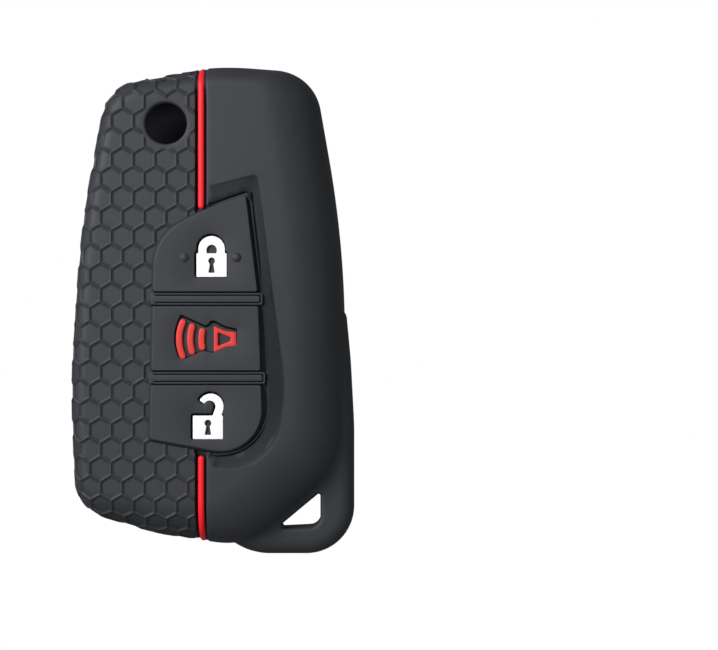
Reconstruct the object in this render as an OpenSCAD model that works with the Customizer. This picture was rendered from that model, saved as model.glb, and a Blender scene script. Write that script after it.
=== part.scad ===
// Silicone cover for a three-button flip car key.
// It lies on its back: +X to its right, +Y to the release-button end, +Z out of the button side.
// The origin is the middle of its footprint, tab included, at the level it rests on.

/* [Sleeve] */
// Width over the sleeve and its key-ring tab
overall_w = 48.4; // [44:0.1:56]
// Length from the release-button end to the tab
overall_l = 84; // [76:0.5:96]
// Thickness of the sleeve between its plain faces
body_t = 19; // [17:0.1:24]
// Thickness of the silicone wall
wall = 1.8; // [1.5:0.1:2.2]

/* [Edge rounding of the button face] */
// Plan depth of the rounding along the gripped long side
front_roll_left = 2.5; // [2.3:0.1:4]
// Plan depth of the rounding at the release-button end
front_roll_top = 3.5; // [2.5:0.1:5]
// Plan depth of the rounding along the plain long side
front_roll_right = 9.5; // [7:0.1:10]
// Plan depth of the rounding along the slanted corner over the tab
front_roll_slant = 11; // [8:0.1:12]
// Plan depth of the rounding at the tab end
front_roll_base = 8; // [6:0.1:9]
// Plan depth of the rounding at the gripped corner of the tab end
front_roll_corner = 4.5; // [3:0.1:6]
// Height of the rounding along the gripped long side
front_drop_left = 3.5; // [2.5:0.1:5]
// Height of the rounding at the release-button end
front_drop_top = 7; // [4:0.1:8]
// Height of the rounding along the plain long side and the slanted corner
front_drop_right = 8.5; // [5:0.1:9]
// Height of the rounding at the tab end
front_drop_base = 8; // [5:0.1:9]

/* [Edge rounding of the back] */
// Plan depth of the rounding along the gripped long side
back_roll_left = 5; // [3:0.1:6]
// Plan depth of the rounding at the release-button end
back_roll_top = 3.2; // [2.5:0.1:5]
// Plan depth of the rounding along the plain long side and the slanted corner
back_roll_right = 8.5; // [6:0.1:10]
// Plan depth of the rounding at the tab end
back_roll_base = 5.5; // [4:0.1:8]
// Height of the rounding along the gripped long side
back_drop_left = 5; // [3:0.1:6]
// Height of the rounding at the release-button end
back_drop_top = 6; // [4:0.1:7]
// Height of the rounding along the plain long side and the slanted corner
back_drop_right = 8; // [5:0.1:9]
// Height of the rounding at the tab end
back_drop_base = 6.5; // [4:0.1:8]

/* [Openings] */
// Diameter of the hole over the key's release button
release_d = 7; // [5:0.1:8]
// Place of that hole across the cover
release_x = -7.75; // [-9:0.05:-7]
// Distance of its middle from the release-button end
release_end_gap = 10.15; // [9:0.05:12]
// Long axis of the oval opening in the back
oval_w = 19.1; // [14:0.1:22]
// Short axis of the oval opening in the back
oval_l = 13.6; // [10:0.1:15]
// Place of the oval across the cover
oval_x = -1.4; // [-3:0.05:1]
// Distance of its middle from the release-button end
oval_end_gap = 18.15; // [17:0.05:21]
// Height of the slot that the blade swings out of
slot_h = 6.5; // [4:0.1:7]
// Height of the middle of the slot over the back
slot_z = 9.8; // [9:0.1:10.5]
// Length of the slot on the gripped long side, from the release-button end
slot_l = 64; // [52:0.5:68]
// Where the slot ends at the release-button end
slot_end_x = -7; // [-9:0.5:-6.5]

/* [Button pad] */
// Left edge of the pad
pad_x = -10.35; // [-11:0.05:-10]
// Width of the pad
pad_w = 19.2; // [17:0.1:20]
// Length of the pad
pad_l = 45.05; // [43:0.05:47]
// Distance of its lower edge from the middle of the cover
pad_reach = 25.2; // [24:0.05:26]
// Height of the buttons over the plain face
key_rise = 0.7; // [0.6:0.05:1.5]
// Length of the middle button
panic_key_l = 10.9; // [9:0.1:11.5]
// Distance of the middle button from the pad's lower edge
panic_key_gap = 15.08; // [14.5:0.02:15.5]
// Width of the groove between a button and a divider bar
seam_w = 0.69; // [0.6:0.01:0.9]
// Width of a divider bar
bar_w = 1.1; // [0.6:0.05:1.5]
// Free gap round a button's foot
key_gap = 0.1; // [0.05:0.01:0.12]
// Width of the thin web that carries a button
web_w = 0.3; // [0.2:0.05:0.4]
// Depth of the pad's floor under the plain face
pad_sink = 0.8; // [0.5:0.05:1]
// Radius of the raised dots on the upper button
dot_r = 0.73; // [0.5:0.01:1]
// Height of the raised dots
dot_rise = 0.4; // [0.2:0.05:0.6]

/* [Inlays] */
// Depth of the pockets that hold the button symbols
pocket_depth = 0.6; // [0.4:0.05:1]
// How far a symbol lies below the button's top
symbol_set = 0.1; // [0:0.05:0.3]
// Free gap round a symbol in its pocket
symbol_gap = 0.3; // [0.1:0.05:0.4]
// Width of the coloured stripe
stripe_w = 1.05; // [0.8:0.05:1.2]
// Width of the groove that holds the stripe
groove_w = 1.9; // [1.6:0.05:2.2]
// Depth of that groove
groove_depth = 0.43; // [0.3:0.01:0.6]
// How far the stripe lies below the plain face
stripe_set = 0.05; // [0:0.01:0.15]
// Place of the stripe across the cover
stripe_x = -1.72; // [-2.2:0.01:-1.2]

/* [Honeycomb] */
// Distance between the middles of two neighbouring cells
cell_pitch = 3.7; // [3:0.1:5]
// Width of a ridge
ridge_w = 0.45; // [0.35:0.05:0.7]
// Height of a ridge over the cell floors
ridge_h = 0.28; // [0.2:0.01:0.5]

/* [Key-ring tab] */
// Thickness of the tab
tab_t = 7; // [5:0.1:9]
// Height of the middle of the tab over the back
tab_z = 9.6; // [9:0.1:10.5]
// Radius of the tab's rounded edge
tab_edge_r = 2.4; // [1:0.1:3]
// Long side of the three-cornered hole for the key ring, along the sleeve's slanted corner
ring_hole_side = 8.6; // [7:0.1:9]

/* [Hidden] */

silicone = [0.13, 0.135, 0.145];
red = [1, 0.1, 0.15];
coral = [0.93, 0.27, 0.26];
white = [0.97, 0.97, 0.97];

// Overrun of every cut past the face that it opens
cut = 1;
// Smoothness of round holes and of small rounds in symbols
round_fn = 64;
small_fn = 32;
// Largest turn between two points of a rounded corner, in degrees
turn_step = 10;
// Rings of points in one rounded edge
roll_steps = 5;
// Two neighbouring rounds take at most this share of the side between them
corner_share = 0.98;
// A rounded edge takes at most this share of the thickness
drop_share = 0.46;
// Smallest radius left when an outline is moved inwards
min_r = 2;
min_key_r = 0.15;

half_w = overall_w / 2;
half_l = overall_l / 2;
release_y = half_l - release_end_gap;
oval_y = half_l - oval_end_gap;
slot_start_y = half_l - slot_l;
pad_y = -pad_reach;
panic_key_y = pad_y + panic_key_gap;

// Corner radii of the sleeve, seen from the front
base_left_r = 7.4;
base_bow_r = 37;
base_right_r = 14;
slant_r = 14.7;
side_bow_r = 178.5;
top_right_r = 8;
crown_right_r = 50;
crown_left_r = 27.4;
top_left_r = 7.8;
left_shoulder_r = 173;
left_upper_r = 111.9;
left_lower_r = 42;
body_radii = [base_left_r, base_bow_r, base_right_r, slant_r, side_bow_r, top_right_r,
    crown_right_r, crown_left_r, top_left_r, left_shoulder_r, left_upper_r, left_lower_r];
// Corners of the sleeve, anticlockwise from the gripped corner of the tab end,
// as shares of half the overall width and half the overall length
body_shares = [[-0.98, -0.806], [-0.444, -0.911], [0.262, -0.976], [0.941, -0.651],
    [0.927, 0.277], [0.714, 0.98], [0.186, 1], [-0.021, 1],
    [-0.761, 0.923], [-0.938, 0.316], [-1, -0.226], [-1, -0.405]];
body_corners = [for (s = body_shares) [s[0] * half_w, s[1] * half_l]];

// Plan depth of the edge rounding before and after each corner of the sleeve
base_bow_roll = (front_roll_corner + front_roll_base) / 2;
front_rolls = [[front_roll_left, front_roll_corner], [base_bow_roll, base_bow_roll],
    [front_roll_base, front_roll_slant], [front_roll_slant, front_roll_right],
    [front_roll_right, front_roll_right], [front_roll_right, front_roll_top],
    [front_roll_top, front_roll_top], [front_roll_top, front_roll_top],
    [front_roll_top, front_roll_left], [front_roll_left, front_roll_left],
    [front_roll_left, front_roll_left], [front_roll_left, front_roll_left]];
back_rolls = [[back_roll_left, back_roll_left], [back_roll_base, back_roll_base],
    [back_roll_base, back_roll_right], [back_roll_right, back_roll_right],
    [back_roll_right, back_roll_right], [back_roll_right, back_roll_top],
    [back_roll_top, back_roll_top], [back_roll_top, back_roll_top],
    [back_roll_top, back_roll_left], [back_roll_left, back_roll_left],
    [back_roll_left, back_roll_left], [back_roll_left, back_roll_left]];
// Height of the edge rounding at each corner, in even steps round the gripped corners
function between(a, b, share) = a + (b - a) * share;
first_step_share = 0.28;
second_step_share = 0.72;
middle_share = 0.5;
front_drops = [between(front_drop_left, front_drop_base, first_step_share),
    between(front_drop_left, front_drop_base, second_step_share), front_drop_base, front_drop_right,
    front_drop_right, between(front_drop_right, front_drop_top, middle_share), front_drop_top,
    front_drop_top, between(front_drop_top, front_drop_left, middle_share), front_drop_left,
    front_drop_left, front_drop_left];
back_drops = [back_drop_left, back_drop_base, back_drop_base, back_drop_right,
    back_drop_right, between(back_drop_right, back_drop_top, middle_share), back_drop_top,
    back_drop_top, back_drop_left, back_drop_left, back_drop_left, back_drop_left];
max_drop = body_t * drop_share;

function unit(v) = v / norm(v);
// Direction that points into an anticlockwise outline from its side a to b
function inward(a, b) = let (u = unit(b - a)) [-u[1], u[0]];
function after(v, i) = v[(i + 1) % len(v)];
function before(v, i) = v[(i + len(v) - 1) % len(v)];
function alike(v, d) = [for (p = v) [d, d]];
// Depths before and after each corner, from one depth for each side
function by_side(d) = [for (i = [0:len(d) - 1]) [before(d, i), d[i]]];
function grown(d, extra) = [for (p = d) [p[0] - extra, p[1] - extra]];
function at_least(d, least) = [for (p = d) [max(p[0], least), max(p[1], least)]];

// Corners of an outline whose sides have moved inwards by the depths d
function moved(v, d) = [for (i = [0:len(v) - 1])
    let (n1 = inward(before(v, i), v[i]), n2 = inward(v[i], after(v, i)), c = n1 * n2,
        mean = (d[i][0] + d[i][1]) / 2, part = (d[i][0] - d[i][1]) / 2)
    v[i] + (n1 + n2) * mean / (1 + c) + (part == 0 ? [0, 0] : (n1 - n2) * part / (1 - c))];

function turn_at(v, i) = let (u = unit(v[i] - before(v, i)), w = unit(after(v, i) - v[i]))
    acos(min(1, u * w));
function turn_counts(v) = [for (i = [0:len(v) - 1]) max(2, ceil(turn_at(v, i) / turn_step))];

// Length that each corner's round would take of the sides beside it
function reaches(v, radii) = [for (i = [0:len(v) - 1]) radii[i] * tan(turn_at(v, i) / 2)];

// Points of one rounded corner, which shares its sides with the rounds next to it
function corner_arc(v, i, reach_list, count) =
    let (p = v[i], to_a = before(v, i) - p, to_b = after(v, i) - p,
        half = 90 - turn_at(v, i) / 2, wanted = reach_list[i],
        share_a = corner_share / (wanted + before(reach_list, i)),
        share_b = corner_share / (wanted + after(reach_list, i)),
        reach = wanted * min(1, norm(to_a) * share_a, norm(to_b) * share_b),
        fit_r = reach * tan(half),
        middle = p + unit(unit(to_a) + unit(to_b)) * fit_r / sin(half),
        start = p + unit(to_a) * reach - middle,
        start_angle = atan2(start[1], start[0]))
    [for (k = [0:count]) let (a = start_angle + (180 - 2 * half) * k / count)
        middle + fit_r * [cos(a), sin(a)]];

// Outline with rounded corners, its sides moved inwards by the depths d
function outline(v, radii, d, least_r, counts) =
    let (m = moved(v, d), last = len(v) - 1,
        fit = [for (i = [0:last]) max(radii[i] - (d[i][0] + d[i][1]) / 2, least_r)],
        reach_list = reaches(m, fit))
    [for (i = [0:last]) each corner_arc(m, i, reach_list, counts[i])];

// One value for each point of an outline, from one value for each corner
function spread(values, counts) = [for (i = [0:len(values) - 1]) for (k = [0:counts[i]]) values[i]];

function raised(points, z) = [for (p = points) [p[0], p[1], z]];

// Closed solid through rings of points, each ring with as many points
module loft(rings, fan = false) {
    n = len(rings[0]);
    last = (len(rings) - 1) * n;
    sides = [for (j = [0:len(rings) - 2]) for (i = [0:n - 1])
        let (a = j * n + i, b = j * n + (i + 1) % n) each [[a, a + n, b + n], [a, b + n, b]]];
    lids = fan
        ? [for (i = [1:n - 2]) each [[0, i, i + 1], [last, last + i + 1, last + i]]]
        : [[for (i = [0:n - 1]) i], [for (i = [n - 1:-1:0]) last + i]];
    polyhedron(points = [for (r = rings) each r], faces = concat(sides, lids));
}

body_counts = turn_counts(body_corners);
function body_outline(d) = outline(body_corners, body_radii, d, min_r, body_counts);
front_drop_points = spread([for (d = front_drops) min(d, max_drop)], body_counts);
back_drop_points = spread([for (d = back_drops) min(d, max_drop)], body_counts);

// The sleeve's rounded block, with its whole surface moved inwards by skin
module pillow(skin) {
    rim = body_outline(alike(body_corners, skin));
    front = body_outline(at_least(front_rolls, skin));
    back = body_outline(at_least(back_rolls, skin));
    last = len(rim) - 1;
    loft(concat(
        [for (k = [0:roll_steps]) let (a = 90 - 90 * k / roll_steps)
            [for (i = [0:last]) let (p = back[i] + (rim[i] - back[i]) * cos(a), z = back_drop_points[i])
                [p[0], p[1], z - (z - skin) * sin(a)]]],
        [for (k = [0:roll_steps]) let (a = 90 * k / roll_steps)
            [for (i = [0:last])
                let (p = front[i] + (rim[i] - front[i]) * cos(a), z = front_drop_points[i])
                [p[0], p[1], body_t - z + (z - skin) * sin(a)]]]));
}

// Corners of the button pad, anticlockwise from its lower left one,
// as shares of the pad's width and length
pad_shares = [[0, 0.078], [1, 0], [0.952, 0.613], [0.843, 1], [0.561, 0.959], [0.041, 0.837]];
pad_low_r = 0.6;
pad_turn_r = 7;
pad_bow_r = 120;
pad_peak_r = 0.4;
pad_top_r = 40;
pad_arc_r = 8.9;
pad_radii = [pad_low_r, pad_turn_r, pad_bow_r, pad_peak_r, pad_top_r, pad_arc_r];
pad_corners = [for (s = pad_shares) [pad_x + s[0] * pad_w, pad_y + s[1] * pad_l]];
pad_counts = turn_counts(pad_corners);
function pad_outline(depths) = outline(pad_corners, pad_radii, depths, min_key_r, pad_counts);
// The pad with its gripped side and its plain side grown by their own widths
function pad_depths(plain, top, gripped) = by_side([-plain, -plain, -plain, -top, -gripped, -gripped]);

// Place across the cover where the line from a to b reaches the height y
function on_line(a, b, y) = a[0] + (b[0] - a[0]) * (y - a[1]) / (b[1] - a[1]);
function pad_left(y) = on_line(pad_corners[0], pad_corners[5], y);
function pad_right(y) = y < pad_corners[2][1]
    ? on_line(pad_corners[1], pad_corners[2], y)
    : on_line(pad_corners[2], pad_corners[3], y);

key_step = 2 * seam_w + bar_w;
panic_key_top = panic_key_y + panic_key_l;
lock_key_y = panic_key_top + key_step;
unlock_key_top = panic_key_y - key_step;
key_corner_r = 0.35;
// How far a button's sloping side stands out at its foot on the gripped side
draft = 0.5;
draft_steep = 0.1;

lock_corners = [[pad_left(lock_key_y), lock_key_y], [pad_right(lock_key_y), lock_key_y],
    pad_corners[3], pad_corners[4], pad_corners[5]];
lock_radii = [key_corner_r, key_corner_r, pad_peak_r, pad_top_r, pad_arc_r];
lock_foot = by_side([-draft_steep, -draft_steep, -draft, -draft, -draft]);

panic_corners = [[pad_left(panic_key_y), panic_key_y], [pad_right(panic_key_y), panic_key_y],
    [pad_right(panic_key_top), panic_key_top], [pad_left(panic_key_top), panic_key_top]];
panic_radii = [key_corner_r, key_corner_r, key_corner_r, key_corner_r];
panic_foot = by_side([-draft_steep, -draft_steep, -draft_steep, -draft]);

unlock_corners = [pad_corners[0], pad_corners[1],
    [pad_right(unlock_key_top), unlock_key_top], [pad_left(unlock_key_top), unlock_key_top]];
unlock_radii = [pad_low_r, pad_turn_r, key_corner_r, key_corner_r];
unlock_foot = by_side([-draft, -draft_steep, -draft_steep, -draft]);

key_top = body_t + key_rise;
cavity_top = body_t - wall;
pad_floor = body_t - pad_sink;
grip_floor = body_t - ridge_h;

module key_block(corners, radii, foot) {
    counts = turn_counts(corners);
    base = outline(corners, radii, foot, min_key_r, counts);
    top = outline(corners, radii, alike(corners, 0), min_key_r, counts);
    loft([raised(base, cavity_top), raised(base, grip_floor), raised(top, key_top)]);
}

// Flat area of a button's foot, grown all round
module key_area(corners, radii, foot, grow) {
    polygon(outline(corners, radii, grown(foot, grow), min_key_r, turn_counts(corners)));
}

module key_apertures() {
    translate([0, 0, cavity_top - cut])
        linear_extrude(wall + 2 * cut) {
            key_area(lock_corners, lock_radii, lock_foot, key_gap + web_w);
            key_area(panic_corners, panic_radii, panic_foot, key_gap + web_w);
            key_area(unlock_corners, unlock_radii, unlock_foot, key_gap + web_w);
        }
}

module web(corners, radii, foot) {
    translate([0, 0, cavity_top])
        linear_extrude(pad_floor - cavity_top)
            difference() {
                key_area(corners, radii, foot, key_gap + web_w);
                key_area(corners, radii, foot, key_gap);
            }
}

// Raised rim beside the pad, and the sloping band that leads down to it
rim_gap = 0.8;
rim_w = 0.42;
rim_rise = 0.3;
rim_corner = 0.9;
rim_start_x = 0.4;
rim_outer = pad_depths(rim_gap + rim_w, draft, draft);
rim_inner = pad_depths(rim_gap, -rim_corner, -rim_corner);
band_depth = 0.7;
band_fade = 0.12;
// Corners of the band's outer edge, as shares of the pad's width and length
band_shares = [[0.5, 0.35], [0.55, -0.035], [1.122, -0.044], [1.195, 0.282], [0.956, 1.079],
    [0.513, 1.03], [0.5, 0.65]];
band_low_r = 1;
band_turn_r = 9;
band_bow_r = 25;
band_peak_r = 1;
band_radii = [band_low_r, band_low_r, band_turn_r, band_bow_r, band_peak_r, band_low_r, band_low_r];
// Corners of its inner edge, at the rim
band_inner_shares = [[0.5, 0.35], [0.55, 0.012], [1.06, -0.031], [1.042, 0.282], [0.901, 1.02],
    [0.513, 0.96], [0.5, 0.65]];
band_depths = [band_fade, band_fade, band_fade, band_depth, band_depth, band_depth, band_depth];

module band_cut() {
    outer = [for (s = band_shares) [pad_x + s[0] * pad_w, pad_y + s[1] * pad_l]];
    inner = [for (s = band_inner_shares) [pad_x + s[0] * pad_w, pad_y + s[1] * pad_l]];
    counts = turn_counts(outer);
    edge = outline(outer, band_radii, alike(outer, 0), min_key_r, counts);
    foot = outline(inner, band_radii, alike(inner, 0), min_key_r, counts);
    depths = spread(band_depths, counts);
    loft([[for (i = [0:len(foot) - 1]) [foot[i][0], foot[i][1], body_t - depths[i]]],
        raised(edge, body_t), raised(edge, body_t + cut)], fan = true);
}

// Flat area of the divider bar between the grooves that start at the height y
bar_overhang = 0.3;
bar_cap_w = 0.45;
module bar_area(y) {
    left = pad_left(y + key_step / 2) - draft;
    right = pad_right(y + key_step / 2) + bar_overhang;
    translate([left, y + seam_w])
        square([right - left, bar_w]);
}

// Floor of the two grooves, from the bar's closed end on
module groove_area(y) {
    left = pad_left(y + key_step / 2) + bar_cap_w;
    translate([left, y])
        square([pad_right(y) - left, key_step]);
}

// Part of the pad that lies beyond the stripe, where the floor is sunk
module pad_pocket_area() {
    intersection() {
        polygon(pad_outline(rim_outer));
        translate([stripe_x + groove_w / 2, -overall_l])
            square([overall_w, 2 * overall_l]);
    }
}

// Oval outline in the back
oval_points = 48;
function oval_outline() = [for (k = [0:oval_points - 1]) let (a = 360 * k / oval_points)
    [oval_x + oval_w / 2 * cos(a), oval_y + oval_l / 2 * sin(a)]];

// Slot along the gripped long side and round the corner to the release-button end.
// It is cut into the hollow, past the wall where the outline leans inwards.
module blade_slot() {
    inner_x = body_corners[8][0] + 2 * wall;
    inner_y = body_corners[8][1] - 2 * wall;
    translate([-half_w - cut, slot_start_y, slot_z - slot_h / 2])
        cube([inner_x + half_w + cut, half_l - slot_start_y + cut, slot_h]);
    translate([-half_w - cut, slot_start_y, slot_z])
        rotate([0, 90, 0])
            cylinder(h = inner_x + half_w + cut, r = slot_h / 2, $fn = round_fn);
    translate([-half_w - cut, inner_y, slot_z - slot_h / 2])
        cube([slot_end_x + half_w + cut, half_l - inner_y + cut, slot_h]);
    translate([slot_end_x, half_l + cut, slot_z])
        rotate([90, 0, 0])
            cylinder(h = half_l - inner_y + cut, r = slot_h / 2, $fn = round_fn);
}

// Where an outline crosses the stripe's plane, with the value kept for that point
function crossing(points, values, upper) = [for (i = [0:len(points) - 1])
    let (a = points[i], b = after(points, i))
    if (upper ? a[0] > stripe_x && b[0] <= stripe_x : a[0] <= stripe_x && b[0] > stripe_x)
        let (f = (stripe_x - a[0]) / (b[0] - a[0]))
        [a[1] + (b[1] - a[1]) * f, values[i] + (after(values, i) - values[i]) * f]][0];

// The surface in the stripe's plane, moved inwards by skin: along the face from
// front_y, round the end, and along the back to back_y
function wrap_path(skin, upper, front_y, back_y) =
    let (side = upper ? 1 : -1,
        rim = crossing(body_outline(alike(body_corners, 0)), front_drop_points, upper),
        rim_back = crossing(body_outline(alike(body_corners, 0)), back_drop_points, upper),
        front = crossing(body_outline(front_rolls), front_drop_points, upper)[0],
        back = crossing(body_outline(back_rolls), back_drop_points, upper)[0],
        end = rim[0] - side * skin)
    concat(
        [[front_y, body_t - skin]],
        [for (k = [0:roll_steps]) let (a = 90 - 90 * k / roll_steps)
            [front + (end - front) * cos(a), body_t - rim[1] + (rim[1] - skin) * sin(a)]],
        [for (k = [0:roll_steps]) let (a = 90 * k / roll_steps)
            [back + (end - back) * cos(a), rim_back[1] - (rim_back[1] - skin) * sin(a)]],
        [[back_y, skin]]);

function backwards(list) = [for (i = [len(list) - 1:-1:0]) list[i]];

// Strip that follows the surface from the depth low up to the depth high
module wrap_strip(width, low, high, upper, front_y, back_y) {
    translate([stripe_x - width / 2, 0, 0])
        rotate([90, 0, 90])
            linear_extrude(width)
                polygon(concat(wrap_path(low, upper, front_y, back_y),
                    backwards(wrap_path(high, upper, front_y, back_y))));
}

// Ends of the two stripes on the front, clear of the pad, and on the back, clear of the oval
stripe_end_gap = 0.35;
oval_edge_gap = 0.5;
// Height at which the line from a to b crosses the stripe
function at_stripe(a, b) = a[1] + (stripe_x - a[0]) * (b[1] - a[1]) / (b[0] - a[0]);
pad_clearance = draft + key_gap + web_w;
upper_front_y = at_stripe(pad_corners[5], pad_corners[4]) + pad_clearance + 2 * stripe_end_gap;
lower_front_y = at_stripe(pad_corners[0], pad_corners[1]) - pad_clearance - 2 * stripe_end_gap;
upper_back_y = oval_y + oval_l / 2 + oval_edge_gap + stripe_end_gap;
lower_back_y = oval_y - oval_l / 2 - oval_edge_gap - stripe_end_gap;

module stripe_grooves() {
    wrap_strip(groove_w, groove_depth, -cut, true, upper_front_y - stripe_end_gap,
        upper_back_y - stripe_end_gap);
    wrap_strip(groove_w, groove_depth, -cut, false, lower_front_y + stripe_end_gap,
        lower_back_y + stripe_end_gap);
}

// Honeycomb field on one face, its edges moved inwards by extra
grip_margin = 0.3;
net_border = 0.4;
land_w = 0.9;
module grip_field(rolls, extra) {
    intersection() {
        polygon(body_outline(grown(rolls, -grip_margin - extra)));
        translate([-overall_w, -overall_l])
            square([overall_w + stripe_x - groove_w / 2 - extra, overall_l * 2]);
    }
}

module front_field(extra) {
    difference() {
        grip_field(front_rolls, extra);
        polygon(pad_outline(alike(pad_corners, -pad_clearance - extra)));
        translate([release_x, release_y])
            circle(r = release_d / 2 + land_w + extra, $fn = round_fn);
    }
}

module rear_field(extra) {
    difference() {
        grip_field(back_rolls, extra);
        polygon([for (p = oval_outline()) let (c = [oval_x, oval_y])
            c + (p - c) * (1 + (oval_edge_gap + extra) / (oval_l / 2))]);
    }
}

// Six-sided cells, point up, one of them centred on the release hole's column
row_step = cell_pitch * sin(60);
cell_r = (cell_pitch - ridge_w) / sqrt(3);
cell_columns = ceil(overall_w / 2 / cell_pitch) + 1;
cell_rows = ceil(half_l / row_step) + 1;
module cells() {
    for (row = [-cell_rows:cell_rows])
        for (column = [-cell_columns:1])
            translate([release_x + (column + (row % 2 == 0 ? 0 : 0.5)) * cell_pitch,
                    release_y % row_step + row * row_step])
                rotate(30)
                    circle(r = cell_r, $fn = 6);
}

module sleeve() {
    color(silicone)
        difference() {
            pillow(0);
            pillow(wall);
            translate([release_x, release_y, cavity_top - cut])
                cylinder(h = wall + 2 * cut, r = release_d / 2, $fn = round_fn);
            translate([0, 0, -cut])
                linear_extrude(wall + 2 * cut)
                    polygon(oval_outline());
            blade_slot();
            stripe_grooves();
            translate([0, 0, grip_floor])
                linear_extrude(ridge_h + cut)
                    grip_field(front_rolls, 0);
            translate([0, 0, -cut])
                linear_extrude(ridge_h + cut)
                    grip_field(back_rolls, 0);
            translate([0, 0, pad_floor])
                linear_extrude(pad_sink + cut) {
                    pad_pocket_area();
                    for (y = [unlock_key_top, panic_key_top]) {
                        bar_area(y);
                        groove_area(y);
                    }
                }
            band_cut();
            key_apertures();
        }
}

module grip_front() {
    color(silicone)
        translate([0, 0, grip_floor])
            linear_extrude(ridge_h) {
                difference() {
                    front_field(0);
                    front_field(net_border);
                }
                difference() {
                    front_field(net_border / 2);
                    cells();
                }
            }
}

module grip_rear() {
    color(silicone)
        linear_extrude(ridge_h) {
            difference() {
                rear_field(0);
                rear_field(net_border);
            }
            difference() {
                rear_field(net_border / 2);
                cells();
            }
        }
}

// Corners of the tab, anticlockwise from inside the sleeve, as shares of half the
// overall width and half the overall length
tab_shares = [[0, -0.85], [0.1, -0.965], [0.34, -1], [1, -1], [1, -0.47], [0.975, -0.2], [0.935, 0.045],
    [0.8, 0]];
tab_inner_r = 2;
tab_low_r = 12;
tab_corner_r = 8.3;
tab_bow_r = 70;
tab_radii = [tab_inner_r, tab_low_r, tab_low_r, tab_corner_r, tab_bow_r, tab_bow_r, tab_inner_r,
    tab_inner_r];
tab_corners = [for (s = tab_shares) [s[0] * half_w, s[1] * half_l]];
tab_counts = turn_counts(tab_corners);
tab_edge_steps = 3;

module tab_layer(a) {
    rise = tab_t / 2 - tab_edge_r + tab_edge_r * sin(a);
    inset = tab_edge_r * (1 - cos(a));
    translate([0, 0, -rise])
        linear_extrude(2 * rise)
            polygon(outline(tab_corners, tab_radii, alike(tab_corners, inset), min_r, tab_counts));
}

// The hole is a triangle whose long side runs beside the sleeve's slanted corner
ring_hole_start = 6.6;
ring_hole_gap = 0.5;
ring_hole_tilt = 0.8;
ring_hole_r = 1.9;
ring_point_r = 0.3;
module ring_hole() {
    along = unit(body_corners[3] - body_corners[2]);
    low = body_corners[2] + along * ring_hole_start
        - inward(body_corners[2], body_corners[3]) * ring_hole_gap;
    high = low + along * ring_hole_side;
    corners = [[low[0], low[1] - ring_hole_tilt], [high[0], low[1]], high, low];
    polygon(outline(corners, [ring_point_r, ring_hole_r, ring_point_r, ring_point_r],
        alike(corners, 0), min_key_r, turn_counts(corners)));
}

module key_ring_tab() {
    color(silicone)
        difference() {
            translate([0, 0, tab_z])
                hull()
                    for (k = [0:tab_edge_steps])
                        tab_layer(90 * k / tab_edge_steps);
            pillow(0);
            translate([0, 0, tab_z - tab_t])
                linear_extrude(2 * tab_t)
                    ring_hole();
        }
}

module lock_web() {
    color(silicone)
        web(lock_corners, lock_radii, lock_foot);
}

module panic_web() {
    color(silicone)
        web(panic_corners, panic_radii, panic_foot);
}

module unlock_web() {
    color(silicone)
        web(unlock_corners, unlock_radii, unlock_foot);
}

// Padlock symbols
lock_w = 5.25;
lock_l = 4.08;
lock_margin = 2.43;
lock_x_share = 0.543;
lock_x = pad_x + pad_w * lock_x_share;
lock_y = lock_key_y + lock_margin + lock_l / 2;
lock_corner_r = 0.35;
bow_w = 4.5;
bow_leg = 0.69;
bow_hole_w = 1.73;
bow_hole_leg = 0.6;
keyhole_r = 0.57;
keyhole_lift = 0.72;
keyhole_skirt_w = 1.1;
keyhole_skirt_l = 2;
keyhole_neck_w = 0.5;
hook_r = 2.18;
hook_hole_r = 1;
hook_hole_shift = 0.2;
hook_x = 0.48;
hook_lift = 1.54;
hook_open_angle = 152;
hook_close_angle = -15;
hook_leg_left = 0.2;
hook_leg_right = 1.72;
unlock_margin = 1.38;
unlock_x_share = 0.511;
unlock_x = pad_x + pad_w * unlock_x_share;
unlock_y = unlock_key_top - unlock_margin - hook_r - hook_lift - lock_l / 2;

module keyhole() {
    translate([0, keyhole_lift])
        circle(r = keyhole_r, $fn = small_fn);
    polygon([[-keyhole_skirt_w / 2, keyhole_lift - keyhole_skirt_l],
        [keyhole_skirt_w / 2, keyhole_lift - keyhole_skirt_l],
        [keyhole_neck_w / 2, keyhole_lift], [-keyhole_neck_w / 2, keyhole_lift]]);
}

module padlock_body(grow) {
    corners = [[-lock_w / 2, -lock_l / 2], [lock_w / 2, -lock_l / 2],
        [lock_w / 2, lock_l / 2], [-lock_w / 2, lock_l / 2]];
    polygon(outline(corners, [for (c = corners) lock_corner_r], alike(corners, -grow),
        min_key_r, turn_counts(corners)));
}

module closed_lock(grow) {
    padlock_body(grow);
    difference() {
        union() {
            translate([0, lock_l / 2 + bow_leg])
                circle(r = bow_w / 2 + grow, $fn = small_fn);
            translate([-bow_w / 2 - grow, 0])
                square([bow_w + 2 * grow, lock_l / 2 + bow_leg]);
        }
        if (grow == 0) {
            translate([0, lock_l / 2 + bow_hole_leg])
                circle(r = bow_hole_w / 2, $fn = small_fn);
            translate([-bow_hole_w / 2, lock_l / 2])
                square([bow_hole_w, bow_hole_leg]);
        }
    }
}

// Points along an arc from one angle to another
arc_steps = 12;
function arc_points(middle, r, from, to) = [for (i = [0:arc_steps])
    let (a = from + (to - from) * i / arc_steps)
    middle + r * [cos(a), sin(a)]];

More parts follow.
